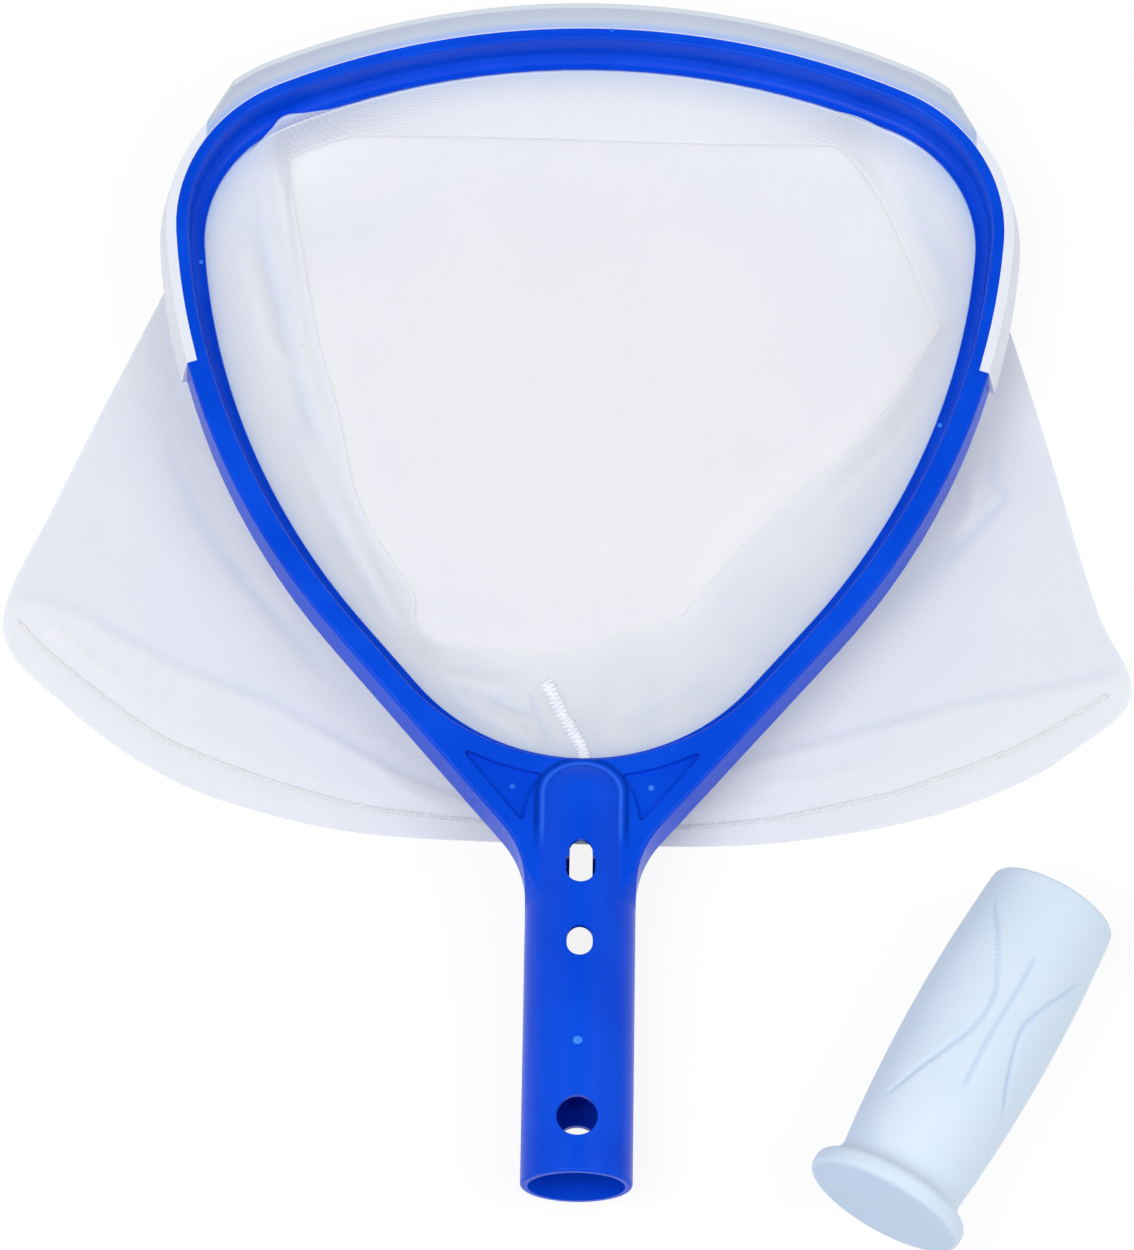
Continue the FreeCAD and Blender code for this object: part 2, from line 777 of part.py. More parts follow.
def bag_loop():
    """Closed chain of arcs that follows a smooth curve through the bag's outline points."""
    curve = Part.BSplineCurve()
    curve.interpolate([Vector(x, y, 0) for x, y in BAG_OUTLINE], PeriodicFlag=True)
    count = len(BAG_OUTLINE)
    step = (curve.LastParameter - curve.FirstParameter) / count
    ends = [curve.value(curve.FirstParameter + number * step) for number in range(count)]
    middles = [curve.value(curve.FirstParameter + (number + 0.5) * step) for number in range(count)]
    return [round_edge(a, m, b) for a, m, b in zip(ends, middles, ends[1:] + ends[:1])]


TABLE = "-@tube_radius - @bag_clearance - 2 * @panel_thickness"


def build_bag_bottom_panel():
    """Lay the lower panel flat on the table."""
    body = new_body("bag_bottom_panel")
    sketch = new_sketch(body, "BottomOutline", height=TABLE)
    add_loop(sketch, bag_loop())
    pad(body, "BottomSheet", sketch, "@panel_thickness")
    return body


def shifted(edges):
    """Move an outline to where the bag folds inside the mouth."""
    moved = []
    for edge in edges:
        copy = edge.copy()
        copy.translate(Vector(dim("fold_shift_x"), dim("fold_shift_y"), 0))
        moved.append(copy)
    return moved


def build_bag_upper_panel():
    """Slope the mesh wall from the ring's back edge to the fold and spread it to the outline."""
    body = new_body("bag_upper_panel")
    fold_height = "-@tube_radius - @bag_clearance - @panel_thickness"
    rim = dim("ledge_inset")
    fold = rim + dim("fold_inset")
    run = dim("bag_wall_run")
    spread = new_sketch(body, "SpreadOutline", height=fold_height)
    add_loop(spread, bag_loop())
    pad(body, "Spread", spread, "@panel_thickness")
    rim_outer = new_sketch(body, "RimOuter", height="@inner_back")
    add_loop(rim_outer, mouth_outline(rim - run))
    fold_outer = new_sketch(body, "FoldOuter", height=fold_height)
    add_loop(fold_outer, shifted(mouth_outline(fold - run)))
    loft(body, "Additive", "WallOuter", [rim_outer, fold_outer])
    rim_inner = new_sketch(body, "RimInner", height="@inner_back")
    add_loop(rim_inner, mouth_outline(rim))
    fold_inner = new_sketch(body, "FoldInner", height=fold_height)
    add_loop(fold_inner, shifted(mouth_outline(fold)))
    loft(body, "Subtractive", "WallInner", [rim_inner, fold_inner])
    return body


def band_loop(width):
    """Closed outline of the seam: the arcs moved out and in by half the width, and two ends."""
    outer, inner = [], []
    for start, middle, end in END_SEAM:
        centre_line = arc((*start, 0), (*middle, 0), (*end, 0))
        centre = centre_line.Center
        sides = []
        for shift in (width / 2, -width / 2):
            points = []
            for x, y in (start, middle, end):
                away = (Vector(x, y, 0) - centre).normalize()
                points.append(Vector(x, y, 0) + away * shift)
            sides.append(points)
        outer.append(sides[0])
        inner.append(sides[1])
    return outer, inner


def build_bag_end_seam():
    """Lay the overlocked seam along the closed end as a flat bead."""
    body = new_body("bag_end_seam")
    sketch = new_sketch(body, "SeamOutline", height="-@tube_radius - @bag_clearance")
    outer, inner = band_loop(dim("seam_width"))
    for sides in (outer, inner):
        for before, after in zip(sides, sides[1:]):
            joint = (before[2] + after[0]) * 0.5
            before[2] = joint
            after[0] = joint
    edges = [round_edge(*points) for points in outer]
    edges.append(Part.LineSegment(outer[-1][2], inner[-1][2]))
    edges += [round_edge(*reversed(points)) for points in reversed(inner)]
    edges.append(Part.LineSegment(inner[0][0], outer[0][0]))
    add_loop(sketch, edges)
    pad(body, "SeamBead", sketch, "@seam_height")
    gap = new_sketch(body, "TubeGap", height="-@tube_radius - @bag_clearance")
    half = dim("tube_radius")
    low, high = END_SEAM[1][2][1] - CUT_MARGIN, END_SEAM[0][2][1] + CUT_MARGIN
    add_loop(gap, polygon([(-half, low), (half, low), (half, high), (-half, high)]))
    pocket(body, "UnderTube", gap, "@seam_height", reverse=True)
    return body


# Hand grip: barrel-shaped rubber sleeve, standing along its own axis before it is laid down


def grip_barrel():
    """Arc of the barrel's side, from its foot by the flange to the rounding of the open end."""
    foot = (dim("grip_neck_radius"), dim("grip_flange_thickness") + dim("grip_neck_rise"))
    belly = (dim("grip_belly_radius"), dim("grip_belly"))
    mouth = (dim("grip_mouth_radius"), dim("grip_length") - dim("grip_round"))
    return arc(foot, belly, mouth)


def grip_rim():
    """How far the flange's rounded edges reach along the sleeve on each side of its plain band."""
    return (dim("grip_flange_thickness") - dim("grip_dome")) / 4


def build_hand_grip():
    """Turn the sleeve, bore it and lay it on the table beside the net."""
    body = new_body("hand_grip")
    length = dim("grip_length")
    flange = dim("grip_flange_thickness")
    flange_radius = dim("grip_flange_radius")
    neck = dim("grip_neck_radius")
    mouth = dim("grip_mouth_radius")
    dome = dim("grip_dome")
    face_radius = flange_radius - dim("grip_flange_round")
    rise = flange + dim("grip_neck_rise")
    hollow = dim("grip_neck_hollow")
    bore_radius = dim("tube_radius") + dim("grip_bore_clearance")
    profile = new_sketch(body, "GripProfile")
    rim = grip_rim()
    mouth_round = dim("grip_round")
    corners = [
        (mouth, length - mouth_round), (mouth - mouth_round, length), (0, length), (0, 0),
        (face_radius * 0.6, dome * 0.35), (face_radius, dome), (flange_radius, dome + rim),
        (flange_radius, flange - rim), (face_radius, flange), (neck + hollow, flange + hollow),
        (neck, rise),
    ]
    straights = [line(here, after) for here, after in zip(corners, corners[1:])]
    add_loop(profile, [*straights, grip_barrel()])
    revolve(body, "Sleeve", profile)
    bore = new_sketch(body, "GripBoreProfile")
    bottom = length - dim("grip_bore_depth")
    over = length + 1
    add_loop(bore, polygon([(0, bottom), (bore_radius, bottom), (bore_radius, over), (0, over)]))
    revolve(body, "GripBore", bore, "Groove")
    place_grip(body)
    return body


def place_grip(body):
    """Lean the grip so that its flange and its barrel both touch the table."""
    table = bag_levels()[0]
    band_end = dim("grip_flange_thickness") - grip_rim()
    side = grip_barrel().toShape().discretize(100)
    slope = min((dim("grip_flange_radius") - point.x) / (point.y - band_end) for point in side)
    lean = math.atan(slope)
    turn = math.radians(dim("grip_turn"))
    along = Vector(math.sin(turn) * math.cos(lean), math.cos(turn) * math.cos(lean), -math.sin(lean))
    rotation = FreeCAD.Rotation(Vector(0, 1, 0), along)
    base = Vector(dim("grip_flange_x"), dim("grip_flange_y"), 0)
    body.Placement = FreeCAD.Placement(base, rotation)
    doc.recompute()
    lowest = body.Shape.optimalBoundingBox(False, False).ZMin
    body.Placement = FreeCAD.Placement(base + Vector(0, 0, table - lowest), rotation)


def build_back_seam():
    """Lay the stitched seam on the bag's sloping wall at the neck."""
    rim_inset = dim("ledge_inset")
    centre_y = mouth_centre().y
    rim_low = centre_y - lowest_radius(rim_inset)
    fold_low = centre_y - lowest_radius(rim_inset + dim("fold_inset")) + dim("fold_shift_y")
    table, middle, _ = bag_levels()
    top = Vector(0, rim_low, dim("inner_back"))
    foot = Vector(0, fold_low, middle)
    slope = math.degrees(math.atan2(top.z - foot.z, foot.y - top.y))
    seam = doc.addObject("Part::Box", "BagBackSeam")
    seam.Label = "bag_back_seam"
    bind(seam, "Length", "@back_seam_width")
    margin = dim("back_seam_margin")
    seam.Width = (foot - top).Length - 2 * margin
    bind(seam, "Height", "@seam_height / 2")
    rotation = FreeCAD.Rotation(Vector(1, 0, 0), -slope)
    start = top + (foot - top) * (margin / (foot - top).Length)
    offset = rotation.multVec(Vector(-dim("back_seam_width") / 2, 0, dim("back_seam_lift")))
    seam.Placement = FreeCAD.Placement(start + offset, rotation)
    return seam


def lowest_radius(inset):
    """Radius of the mouth's bottom arc at an inset."""
    return mouth_neck_edges(inset)[1].Radius


def export(pieces):
    """Check every object and write one file for each piece."""
    doc.recompute()
    for item in doc.Objects:
        if "Invalid" in item.State or "Error" in item.State:
            raise RuntimeError(f"{item.Name} failed: {item.State}")
    os.makedirs("parts", exist_ok=True)
    for piece in pieces:
        shape = piece.Shape
        if shape.isNull() or not shape.isValid():
            raise RuntimeError(f"{piece.Label} has no valid shape")
        shape.exportStep(f"parts/{piece.Label}.step")
        print(piece.Label, f"{shape.Volume:.0f} mm3, {len(shape.Solids)} solids", shape.BoundBox)


export([
    build_frame(),
    build_scoop_lip(),
    build_bag_upper_panel(),
    build_bag_bottom_panel(),
    build_bag_end_seam(),
    build_back_seam(),
    build_hand_grip(),
])
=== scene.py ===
"""Leaf skimmer net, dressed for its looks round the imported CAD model.

The shapes are worked out in millimetres, in the CAD model's own frame: the origin is the centre of
the handle's free end, +Y runs up the handle, +Z points out of the mouth of the bag and +X to the
right. They are turned into metres as each mesh is made.
"""
import sys

import logging
import math
from dataclasses import dataclass
from enum import Enum
from typing import Sequence

import bpy
import numpy as np
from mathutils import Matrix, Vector, noise


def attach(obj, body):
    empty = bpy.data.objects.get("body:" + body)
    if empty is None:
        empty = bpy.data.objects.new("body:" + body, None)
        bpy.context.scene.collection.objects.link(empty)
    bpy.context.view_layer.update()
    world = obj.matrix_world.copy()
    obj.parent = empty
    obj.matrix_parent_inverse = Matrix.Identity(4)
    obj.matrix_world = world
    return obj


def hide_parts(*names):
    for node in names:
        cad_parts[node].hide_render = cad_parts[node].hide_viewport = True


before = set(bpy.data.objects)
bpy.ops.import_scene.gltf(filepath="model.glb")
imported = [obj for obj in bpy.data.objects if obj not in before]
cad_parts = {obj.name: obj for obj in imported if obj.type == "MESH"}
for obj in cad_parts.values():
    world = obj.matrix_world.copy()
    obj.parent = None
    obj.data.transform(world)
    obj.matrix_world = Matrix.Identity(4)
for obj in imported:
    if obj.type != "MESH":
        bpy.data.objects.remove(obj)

LOG = logging.getLogger("skimmer_net")
MM = 0.001
Point = tuple[float, float]
Place = tuple[float, float, float]
Colour = tuple[float, float, float]
WHITE = (1.0, 1.0, 1.0, 1.0)
FAR = 1e9
LINE_STEPS = 12


class Body(Enum):
    """The CAD bodies that pieces ride on."""

    NET = "net"
    GRIP = "grip"


class Slot(Enum):
    """The record's material slots."""

    FRAME = "frame_plastic"
    LIP = "lip_plastic"
    MESH = "mesh"
    THREAD = "seam_thread"
    RUBBER = "grip_rubber"


def linear(red: float, green: float, blue: float) -> tuple[float, float, float, float]:
    """Turn a colour as seen on screen, 0 to 255, into the linear value that a shader takes.

    Args:
        red: the red part.
        green: the green part.
        blue: the blue part.

    Returns:
        The linear colour with an alpha of one.
    """
    parts = []
    for value in (red, green, blue):
        share = value / 255.0
        parts.append(share / 12.92 if share <= 0.04045 else ((share + 0.055) / 1.055) ** 2.4)
    return (*parts, 1.0)


def smooth_step(value: np.ndarray | float, low: float, high: float) -> np.ndarray:
    """Rise smoothly from zero at low to one at high."""
    share = np.clip((np.asarray(value, float) - low) / (high - low), 0.0, 1.0)
    return share * share * (3.0 - 2.0 * share)


def bell(away: np.ndarray, width: float) -> np.ndarray:
    """Fall off smoothly on both sides from one at zero."""
    return np.exp(-(away / width) ** 2)


def fade_ends(shares: np.ndarray, fade: float) -> np.ndarray:
    """Fade out over a share of a line's length at each end."""
    return smooth_step(shares, 0.0, fade) * smooth_step(shares, 1.0, 1.0 - fade)


# Curves that the pieces follow


def smooth_line(
    points: Sequence[Sequence[float]], steps: int = 24, closed: bool = False
) -> np.ndarray:
    """Draw a smooth curve through chosen points, in any number of dimensions.

    Args:
        points: the chosen points, in order.
        steps: how many points are drawn between two of them.
        closed: whether the curve returns to its first point.

    Returns:
        The curve's points, one row each.
    """
    knots = np.asarray(points, float)
    if closed:
        knots = np.vstack([knots[-1], knots, knots[:2]])
    else:
        knots = np.vstack([2 * knots[0] - knots[1], knots, 2 * knots[-1] - knots[-2]])
    rows = []
    for a, b, c, d in zip(knots, knots[1:], knots[2:], knots[3:]):
        for share in np.linspace(0.0, 1.0, steps, endpoint=False):
            square, cube = share ** 2, share ** 3
            rows.append(0.5 * (
                2 * b + (c - a) * share + (2 * a - 5 * b + 4 * c - d) * square
                + (3 * b - a - 3 * c + d) * cube
            ))
    if not closed:
        rows.append(knots[-2])
    return np.asarray(rows)


@dataclass(frozen=True)
class RingContour:
    """The ring's outline as tangent arcs, mirrored about the Y axis, with the CAD model's sizes."""

    top_edge: float = 328.5
    top_radius: float = 208.7
    top_turn: float = 24.4
    corner_radius: float = 47.8
    corner_turn: float = 95.24
    side_radius: float = 206.5
    side_turn: float = 130.4
    mouth_low: float = 111.794
    rim_width: float = 5.75
    outline_steps: int = 1440

    @staticmethod
    def outward(turn: float) -> np.ndarray:
        """Outward direction where the outline has turned this many degrees from the top."""
        angle = math.radians(turn)
        return np.array([math.sin(angle), math.cos(angle)])

    def arcs(self) -> list[tuple[np.ndarray, float, float]]:
        """The arcs on the right: centre, radius and the last turn of each."""
        top = np.array([0.0, self.top_edge - self.top_radius])
        corner = top + self.outward(self.top_turn) * (self.top_radius - self.corner_radius)
        side = corner + self.outward(self.corner_turn) * (self.corner_radius - self.side_radius)
        return [
            (top, self.top_radius, self.top_turn),
            (corner, self.corner_radius, self.corner_turn),
            (side, self.side_radius, self.side_turn),
        ]

    def point(self, turn: float, inset: float) -> np.ndarray:
        """Point of the mouth's outline at a turn from the top, moved inwards by the inset.

        Args:
            turn: degrees from the top, negative on the left, up to 180.
            inset: how far the point is inside the ring's outside.

        Returns:
            The point's x and y.
        """
        size = abs(turn)
        sign = -1.0 if turn < 0 else 1.0
        for centre, radius, last in self.arcs():
            if size <= last:
                place = centre + self.outward(size) * (radius - inset)
                return place * np.array([sign, 1.0])
        normal = self.outward(self.side_turn)
        start = self.point(self.side_turn, self.rim_width)
        centre = np.array([0.0, (self.mouth_low + normal @ start) / (1 + normal[1])])
        radius = normal @ self.point(self.side_turn, inset) - normal @ centre
        return (centre + self.outward(size) * radius) * np.array([sign, 1.0])

    def mouth(self, inset: float) -> np.ndarray:
        """The mouth's closed outline at an inset, clockwise from the neck, finely divided."""
        turns = np.linspace(-180.0, 180.0, self.outline_steps, endpoint=False)
        return np.asarray([self.point(turn, inset) for turn in turns])


def polar_radius(curve: np.ndarray, hub: np.ndarray, angles: np.ndarray) -> np.ndarray:
    """Distance of a closed curve from a hub inside it, in each of some directions.

    Args:
        curve: the closed curve's points.
        hub: the point that the directions start from.
        angles: the directions, in radians from +Y, clockwise.

    Returns:
        One distance for each direction.
    """
    offset = curve - hub
    turn = np.arctan2(offset[:, 0], offset[:, 1])
    order = np.argsort(turn)
    return np.interp(angles, turn[order], np.hypot(offset[:, 0], offset[:, 1])[order],
                     period=2 * math.pi)


# Meshes


def add_object(name: str, data: bpy.types.ID) -> bpy.types.Object:
    """Make an object from its data and link it to the scene."""
    piece = bpy.data.objects.new(name, data)
    bpy.context.scene.collection.objects.link(piece)
    return piece


def mesh_piece(
    name: str,
    points: np.ndarray,
    faces: Sequence[Sequence[int]],
    uvs: np.ndarray | None = None,
    smooth: bool = True,
    marks: dict[str, np.ndarray] | None = None,
) -> bpy.types.Object:
    """Make an object at the origin from points in millimetres.

    Args:
        name: the piece's name.
        points: one row of x, y, z for each point.
        faces: the faces as rows of point numbers.
        uvs: one row for each point, where the piece carries a flat pattern.
        smooth: whether the faces are shaded smooth.
        marks: a number for each point under each name, for the finish to read.

    Returns:
        The new object.
    """
    mesh = bpy.data.meshes.new(name)
    mesh.from_pydata((np.asarray(points) * MM).tolist(), [], [list(face) for face in faces])
    mesh.polygons.foreach_set("use_smooth", [smooth] * len(mesh.polygons))
    if uvs is not None:
        layer = mesh.uv_layers.new(name="UVMap")
        corner_points = np.zeros(len(mesh.loops), np.int32)
        mesh.loops.foreach_get("vertex_index", corner_points)
        layer.data.foreach_set("uv", np.asarray(uvs, np.float32)[corner_points].ravel())
    for label, values in (marks or {}).items():
        store = mesh.attributes.new(label, "FLOAT", "POINT")
        store.data.foreach_set("value", np.asarray(values, np.float32))
    mesh.update()
    return add_object(name, mesh)


def ring_faces(rows: int, columns: int, flip: bool = False) -> list[tuple[int, ...]]:
    """Faces of a grid whose columns close into rings.

    Args:
        rows: the number of rings.
        columns: the number of points in each ring.
        flip: whether the faces look the other way.

    Returns:
        The faces as point numbers.
    """
    faces = []
    for row in range(rows - 1):
        for column in range(columns):
            after = (column + 1) % columns
            a, b = row * columns + column, row * columns + after
            c, d = b + columns, a + columns
            faces.append((d, c, b, a) if flip else (a, b, c, d))
    return faces


# Node trees


class NodeNet:
    """The nodes of one tree, added one by one."""

    def __init__(self, tree: bpy.types.NodeTree) -> None:
        """Start from an existing tree."""
        self.tree = tree

    def feed(self, value: object, target: bpy.types.NodeSocket) -> None:
        """Link a socket to an input, or write a plain value on it."""
        if isinstance(value, bpy.types.NodeSocket):
            self.tree.links.new(value, target)
        else:
            target.default_value = value

    def connect(self, node: bpy.types.Node, feeds: dict[str | int, object]) -> None:
        """Give a node's inputs, by name or number, a value or a socket each."""
        for key, value in feeds.items():
            self.feed(value, node.inputs[key])

    def add(self, kind: str, feeds: dict[str | int, object] | None = None,
            **settings: object) -> bpy.types.Node:
        """Add a node.

        Args:
            kind: the node's type.
            feeds: a value or a socket for each input that needs one, by name or number.
            settings: the node's own settings.

        Returns:
            The node.
        """
        node = self.tree.nodes.new(kind)
        for key, value in settings.items():
            setattr(node, key, value)
        self.connect(node, feeds or {})
        return node

    def maths(self, operation: str, *values: object) -> bpy.types.NodeSocket:
        """Add a Math node on some numbers or sockets and return its result."""
        return self.add("ShaderNodeMath", dict(enumerate(values)), operation=operation).outputs[0]


class GeometryTree(NodeNet):
    """A Geometry Nodes tree put together in the script, with named inputs for its sizes."""

    def __init__(self, name: str) -> None:
        """Start an empty tree with a geometry input and output."""
        super().__init__(bpy.data.node_groups.new(name, "GeometryNodeTree"))
        for way in ("INPUT", "OUTPUT"):
            self.tree.interface.new_socket("Geometry", in_out=way,
                                           socket_type="NodeSocketGeometry")
        self.start = self.add("NodeGroupInput")
        self.end = self.add("NodeGroupOutput")

    def size(self, name: str) -> bpy.types.NodeSocket:
        """Add a named number to the tree's inputs and return its socket inside."""
        self.tree.interface.new_socket(name, in_out="INPUT", socket_type="NodeSocketFloat")
        return self.start.outputs[name]

    def tangent(self) -> bpy.types.NodeSocket:
        """The direction of the curve at each of its points."""
        return self.add("GeometryNodeInputTangent").outputs["Tangent"]

    def resample(self, curve: bpy.types.NodeSocket,
                 step: bpy.types.NodeSocket) -> bpy.types.NodeSocket:
        """Put a curve's points one step apart."""
        even = self.add("GeometryNodeResampleCurve", {"Curve": curve, "Length": step},
                        mode="LENGTH")
        return even.outputs["Curve"]

    def guide_curve(self, step: bpy.types.NodeSocket) -> bpy.types.NodeSocket:
        """Turn the guide's edges into a curve with its points one step apart."""
        curve = self.add("GeometryNodeMeshToCurve", {"Mesh": self.start.outputs["Geometry"]})
        return self.resample(curve.outputs["Curve"], step)

    def strand(self, curve: bpy.types.NodeSocket, radius: bpy.types.NodeSocket,
               sides: int) -> bpy.types.NodeSocket:
        """Run a round strand with closed ends along a curve."""
        core = self.add("GeometryNodeCurvePrimitiveCircle",
                        {"Resolution": sides, "Radius": radius})
        feeds = {"Curve": curve, "Profile Curve": core.outputs["Curve"], "Fill Caps": True}
        return self.add("GeometryNodeCurveToMesh", feeds).outputs["Mesh"]

    def finish(self, result: bpy.types.NodeSocket, material: bpy.types.Material) -> None:
        """End the tree with Realize Instances and Set Material."""
        real = self.add("GeometryNodeRealizeInstances", {"Geometry": result})
        dress = self.add("GeometryNodeSetMaterial",
                         {"Geometry": real.outputs["Geometry"], "Material": material})
        self.feed(dress.outputs["Geometry"], self.end.inputs["Geometry"])

    def apply(self, name: str, guide: bpy.types.Object, **sizes: float) -> bpy.types.Object:
        """Run the tree on a guide object and keep the result as a plain mesh.

        Args:
            name: the new piece's name.
            guide: the object that the tree starts from, which is removed.
            sizes: a value for each named input, with its spaces as underscores.

        Returns:
            The new piece.
        """
        modifier = guide.modifiers.new(self.tree.name, "NODES")
        modifier.node_group = self.tree
        for item in self.tree.interface.items_tree:
            key = item.name.replace(" ", "_")
            if item.item_type == "SOCKET" and item.in_out == "INPUT" and key in sizes:
                modifier[item.identifier] = float(sizes[key])
        bpy.context.view_layer.update()
        graph = bpy.context.evaluated_depsgraph_get()
        mesh = bpy.data.meshes.new_from_object(guide.evaluated_get(graph), depsgraph=graph)
        mesh.name = name
        bpy.data.objects.remove(guide)
        return add_object(name, mesh)


def guide_line(name: str, points: np.ndarray, closed: bool = False) -> bpy.types.Object:
    """Make a line of edges, in millimetres, for a node tree to follow."""
    count = len(points)
    edges = [(number, number + 1) for number in range(count - 1)]
    if closed:
        edges.append((count - 1, 0))
    mesh = bpy.data.meshes.new(name)
    mesh.from_pydata((np.asarray(points) * MM).tolist(), edges, [])
    return add_object(name, mesh)


class Shading(NodeNet):
    """The nodes of one material, world or shader group."""

    def blend(self, share: object, first: object, second: object) -> bpy.types.NodeSocket:
        """Mix two colours by a socket or a number and return the result's socket."""
        node = self.add("ShaderNodeMix", data_type="RGBA")
        for name, kind, value in (("Factor", "VALUE", share), ("A", "RGBA", first),
                                  ("B", "RGBA", second)):
            self.feed(value, next(s for s in node.inputs if (s.name, s.type) == (name, kind)))
        return next(s for s in node.outputs if s.type == "RGBA")

    def attribute(self, name: str) -> bpy.types.NodeSocket:
        """Read a number that the piece's mesh carries under a name."""
        node = self.add("ShaderNodeAttribute", attribute_type="GEOMETRY", attribute_name=name)
        return node.outputs["Fac"]

    def place(self) -> bpy.types.NodeSocket:
        """The point's place in the object's own coordinates, in metres."""
        return self.add("ShaderNodeTexCoord").outputs["Object"]

    def axes(self, vector: bpy.types.NodeSocket) -> bpy.types.bpy_prop_collection:
        """The outputs X, Y and Z of a vector."""
        return self.add("ShaderNodeSeparateXYZ", {"Vector": vector}).outputs

    def spread(
        self, value: object, low: float, high: float, start: float = 0.0, end: float = 1.0
    ) -> bpy.types.NodeSocket:
        """Map a value from one range to another, smoothly and without leaving it."""
        feeds = {"Value": value, "From Min": low, "From Max": high, "To Min": start, "To Max": end}
        return self.add("ShaderNodeMapRange", feeds,
                        interpolation_type="SMOOTHSTEP").outputs["Result"]

    def near(self, value: object, middle: float, width: float, end: float,
             held: object) -> bpy.types.NodeSocket:
        """Rise to the end value where a value comes near its middle, times a mask."""
        away = self.maths("ABSOLUTE", self.maths("SUBTRACT", value, middle))
        return self.maths("MULTIPLY", self.spread(away, width, 0.0, 0.0, end), held)

    def raise_surface(self, height: bpy.types.NodeSocket, shader: bpy.types.Node,
                      distance: float, strength: float) -> None:
        """Feed a height through a Bump node into a shader's normal, the distance in millimetres."""
        bump = self.add("ShaderNodeBump", {
            "Distance": distance * MM, "Strength": strength, "Height": height})
        self.feed(bump.outputs["Normal"], shader.inputs["Normal"])


class ShaderGroup(Shading):
    """A shader node group on numbers and, where an input is called Vector, a vector."""

    def __init__(self, name: str, inputs: Sequence[str], outputs: Sequence[str]) -> None:
        """Make the group with its named inputs and outputs and nothing between them."""
        super().__init__(bpy.data.node_groups.new(name, "ShaderNodeTree"))
        for way, labels in (("INPUT", inputs), ("OUTPUT", outputs)):
            for label in labels:
                kind = "NodeSocketVector" if label == "Vector" else "NodeSocketFloat"
                self.tree.interface.new_socket(label, in_out=way, socket_type=kind)
        self.start = self.add("NodeGroupInput")
        self.end = self.add("NodeGroupOutput")


class SurfaceGrain(ShaderGroup):
    """Soft unevenness of a moulded or rubber surface: a tone that drifts and a fine height."""

    def __init__(self) -> None:
        """Build the group."""
        super().__init__("surface grain", ("Vector", "Patch Size", "Grain Size"),
                         ("Tone", "Height"))
        for size, label, detail in (("Patch Size", "Tone", 3.0), ("Grain Size", "Height", 4.0)):
            texture = self.add("ShaderNodeTexNoise", {
                "Vector": self.start.outputs["Vector"], "Detail": detail,
                "Scale": self.maths("DIVIDE", 1.0, self.start.outputs[size])})
            self.feed(texture.outputs["Fac"], self.end.inputs[label])

    def lay(self, nodes: Shading, patch: float, grain: float) -> bpy.types.Node:
        """Put the group into a material on Object coordinates.

        Args:
            nodes: the material's nodes.
            patch: size of the drifting patches, in millimetres.
            grain: size of the fine grain, in millimetres.

        Returns:
            The group's node.
        """
        return nodes.add("ShaderNodeGroup", {
            "Vector": nodes.place(), "Patch Size": patch * MM, "Grain Size": grain * MM,
        }, node_tree=self.tree)


class OpenWeave(ShaderGroup):
    """Square weave of fine threads with holes between them."""

    thread_edge = 9.0
    crossing_rise = 0.3

    def __init__(self) -> None:
        """Build the group."""
        super().__init__("open weave", ("Vector", "Pitch", "Thread Share"), ("Cover", "Height"))
        parts = self.axes(self.start.outputs["Vector"])
        covers, crowns = [], []
        for axis in ("X", "Y"):
            cells = self.maths("DIVIDE", parts[axis], self.start.outputs["Pitch"])
            across = self.maths("PINGPONG", cells, 0.5)
            edge = self.maths("MULTIPLY", self.start.outputs["Thread Share"], 0.5)
            inside = self.maths("SUBTRACT", edge, across)
            soft = self.maths("MULTIPLY_ADD", inside, self.thread_edge, 0.5)
            covers.append(self.maths("MINIMUM", self.maths("MAXIMUM", soft, 0.0), 1.0))
            crowns.append(self.maths("COSINE", self.maths("MULTIPLY", cells, 2 * math.pi)))
        cover = self.maths("MAXIMUM", *covers)
        crown = self.maths("MULTIPLY_ADD", self.maths("MULTIPLY", *crowns),
                           self.crossing_rise, 1.0 - self.crossing_rise)
        self.feed(cover, self.end.inputs["Cover"])
        self.feed(self.maths("MULTIPLY", cover, crown), self.end.inputs["Height"])

    def lay(self, nodes: Shading, pitch: float, share: float) -> bpy.types.Node:
        """Put the group into a material on the piece's own UV map, which is in metres.

        Args:
            nodes: the material's nodes.
            pitch: distance from thread to thread, in millimetres.
            share: how much of the pitch a thread covers.

        Returns:
            The group's node.
        """
        where = nodes.add("ShaderNodeUVMap", uv_map="UVMap")
        return nodes.add("ShaderNodeGroup", {
            "Vector": where.outputs["UV"], "Pitch": pitch * MM, "Thread Share": share,
        }, node_tree=self.tree)


class Effects:
    """The shader groups that several finishes share."""

    def __init__(self) -> None:
        """Build each group once."""
        self.grain = SurfaceGrain()
        self.weave = OpenWeave()


def new_material(name: str) -> tuple[bpy.types.Material, Shading, bpy.types.Node]:
    """Make a material and return it with its nodes and its Principled shader's node."""
    material = bpy.data.materials.new(name)
    material.use_nodes = True
    nodes = Shading(material.node_tree)
    shader = next(node for node in material.node_tree.nodes if node.type == "BSDF_PRINCIPLED")
    return material, nodes, shader


# Finishes: colours are as seen on screen, 0 to 255, and sizes are in millimetres

# ranges of the grain's tone that turn into a finish's colours and roughness
TONE_COLOURS = (0.35, 0.65)
TONE_ROUGHNESS = (0.3, 0.7)


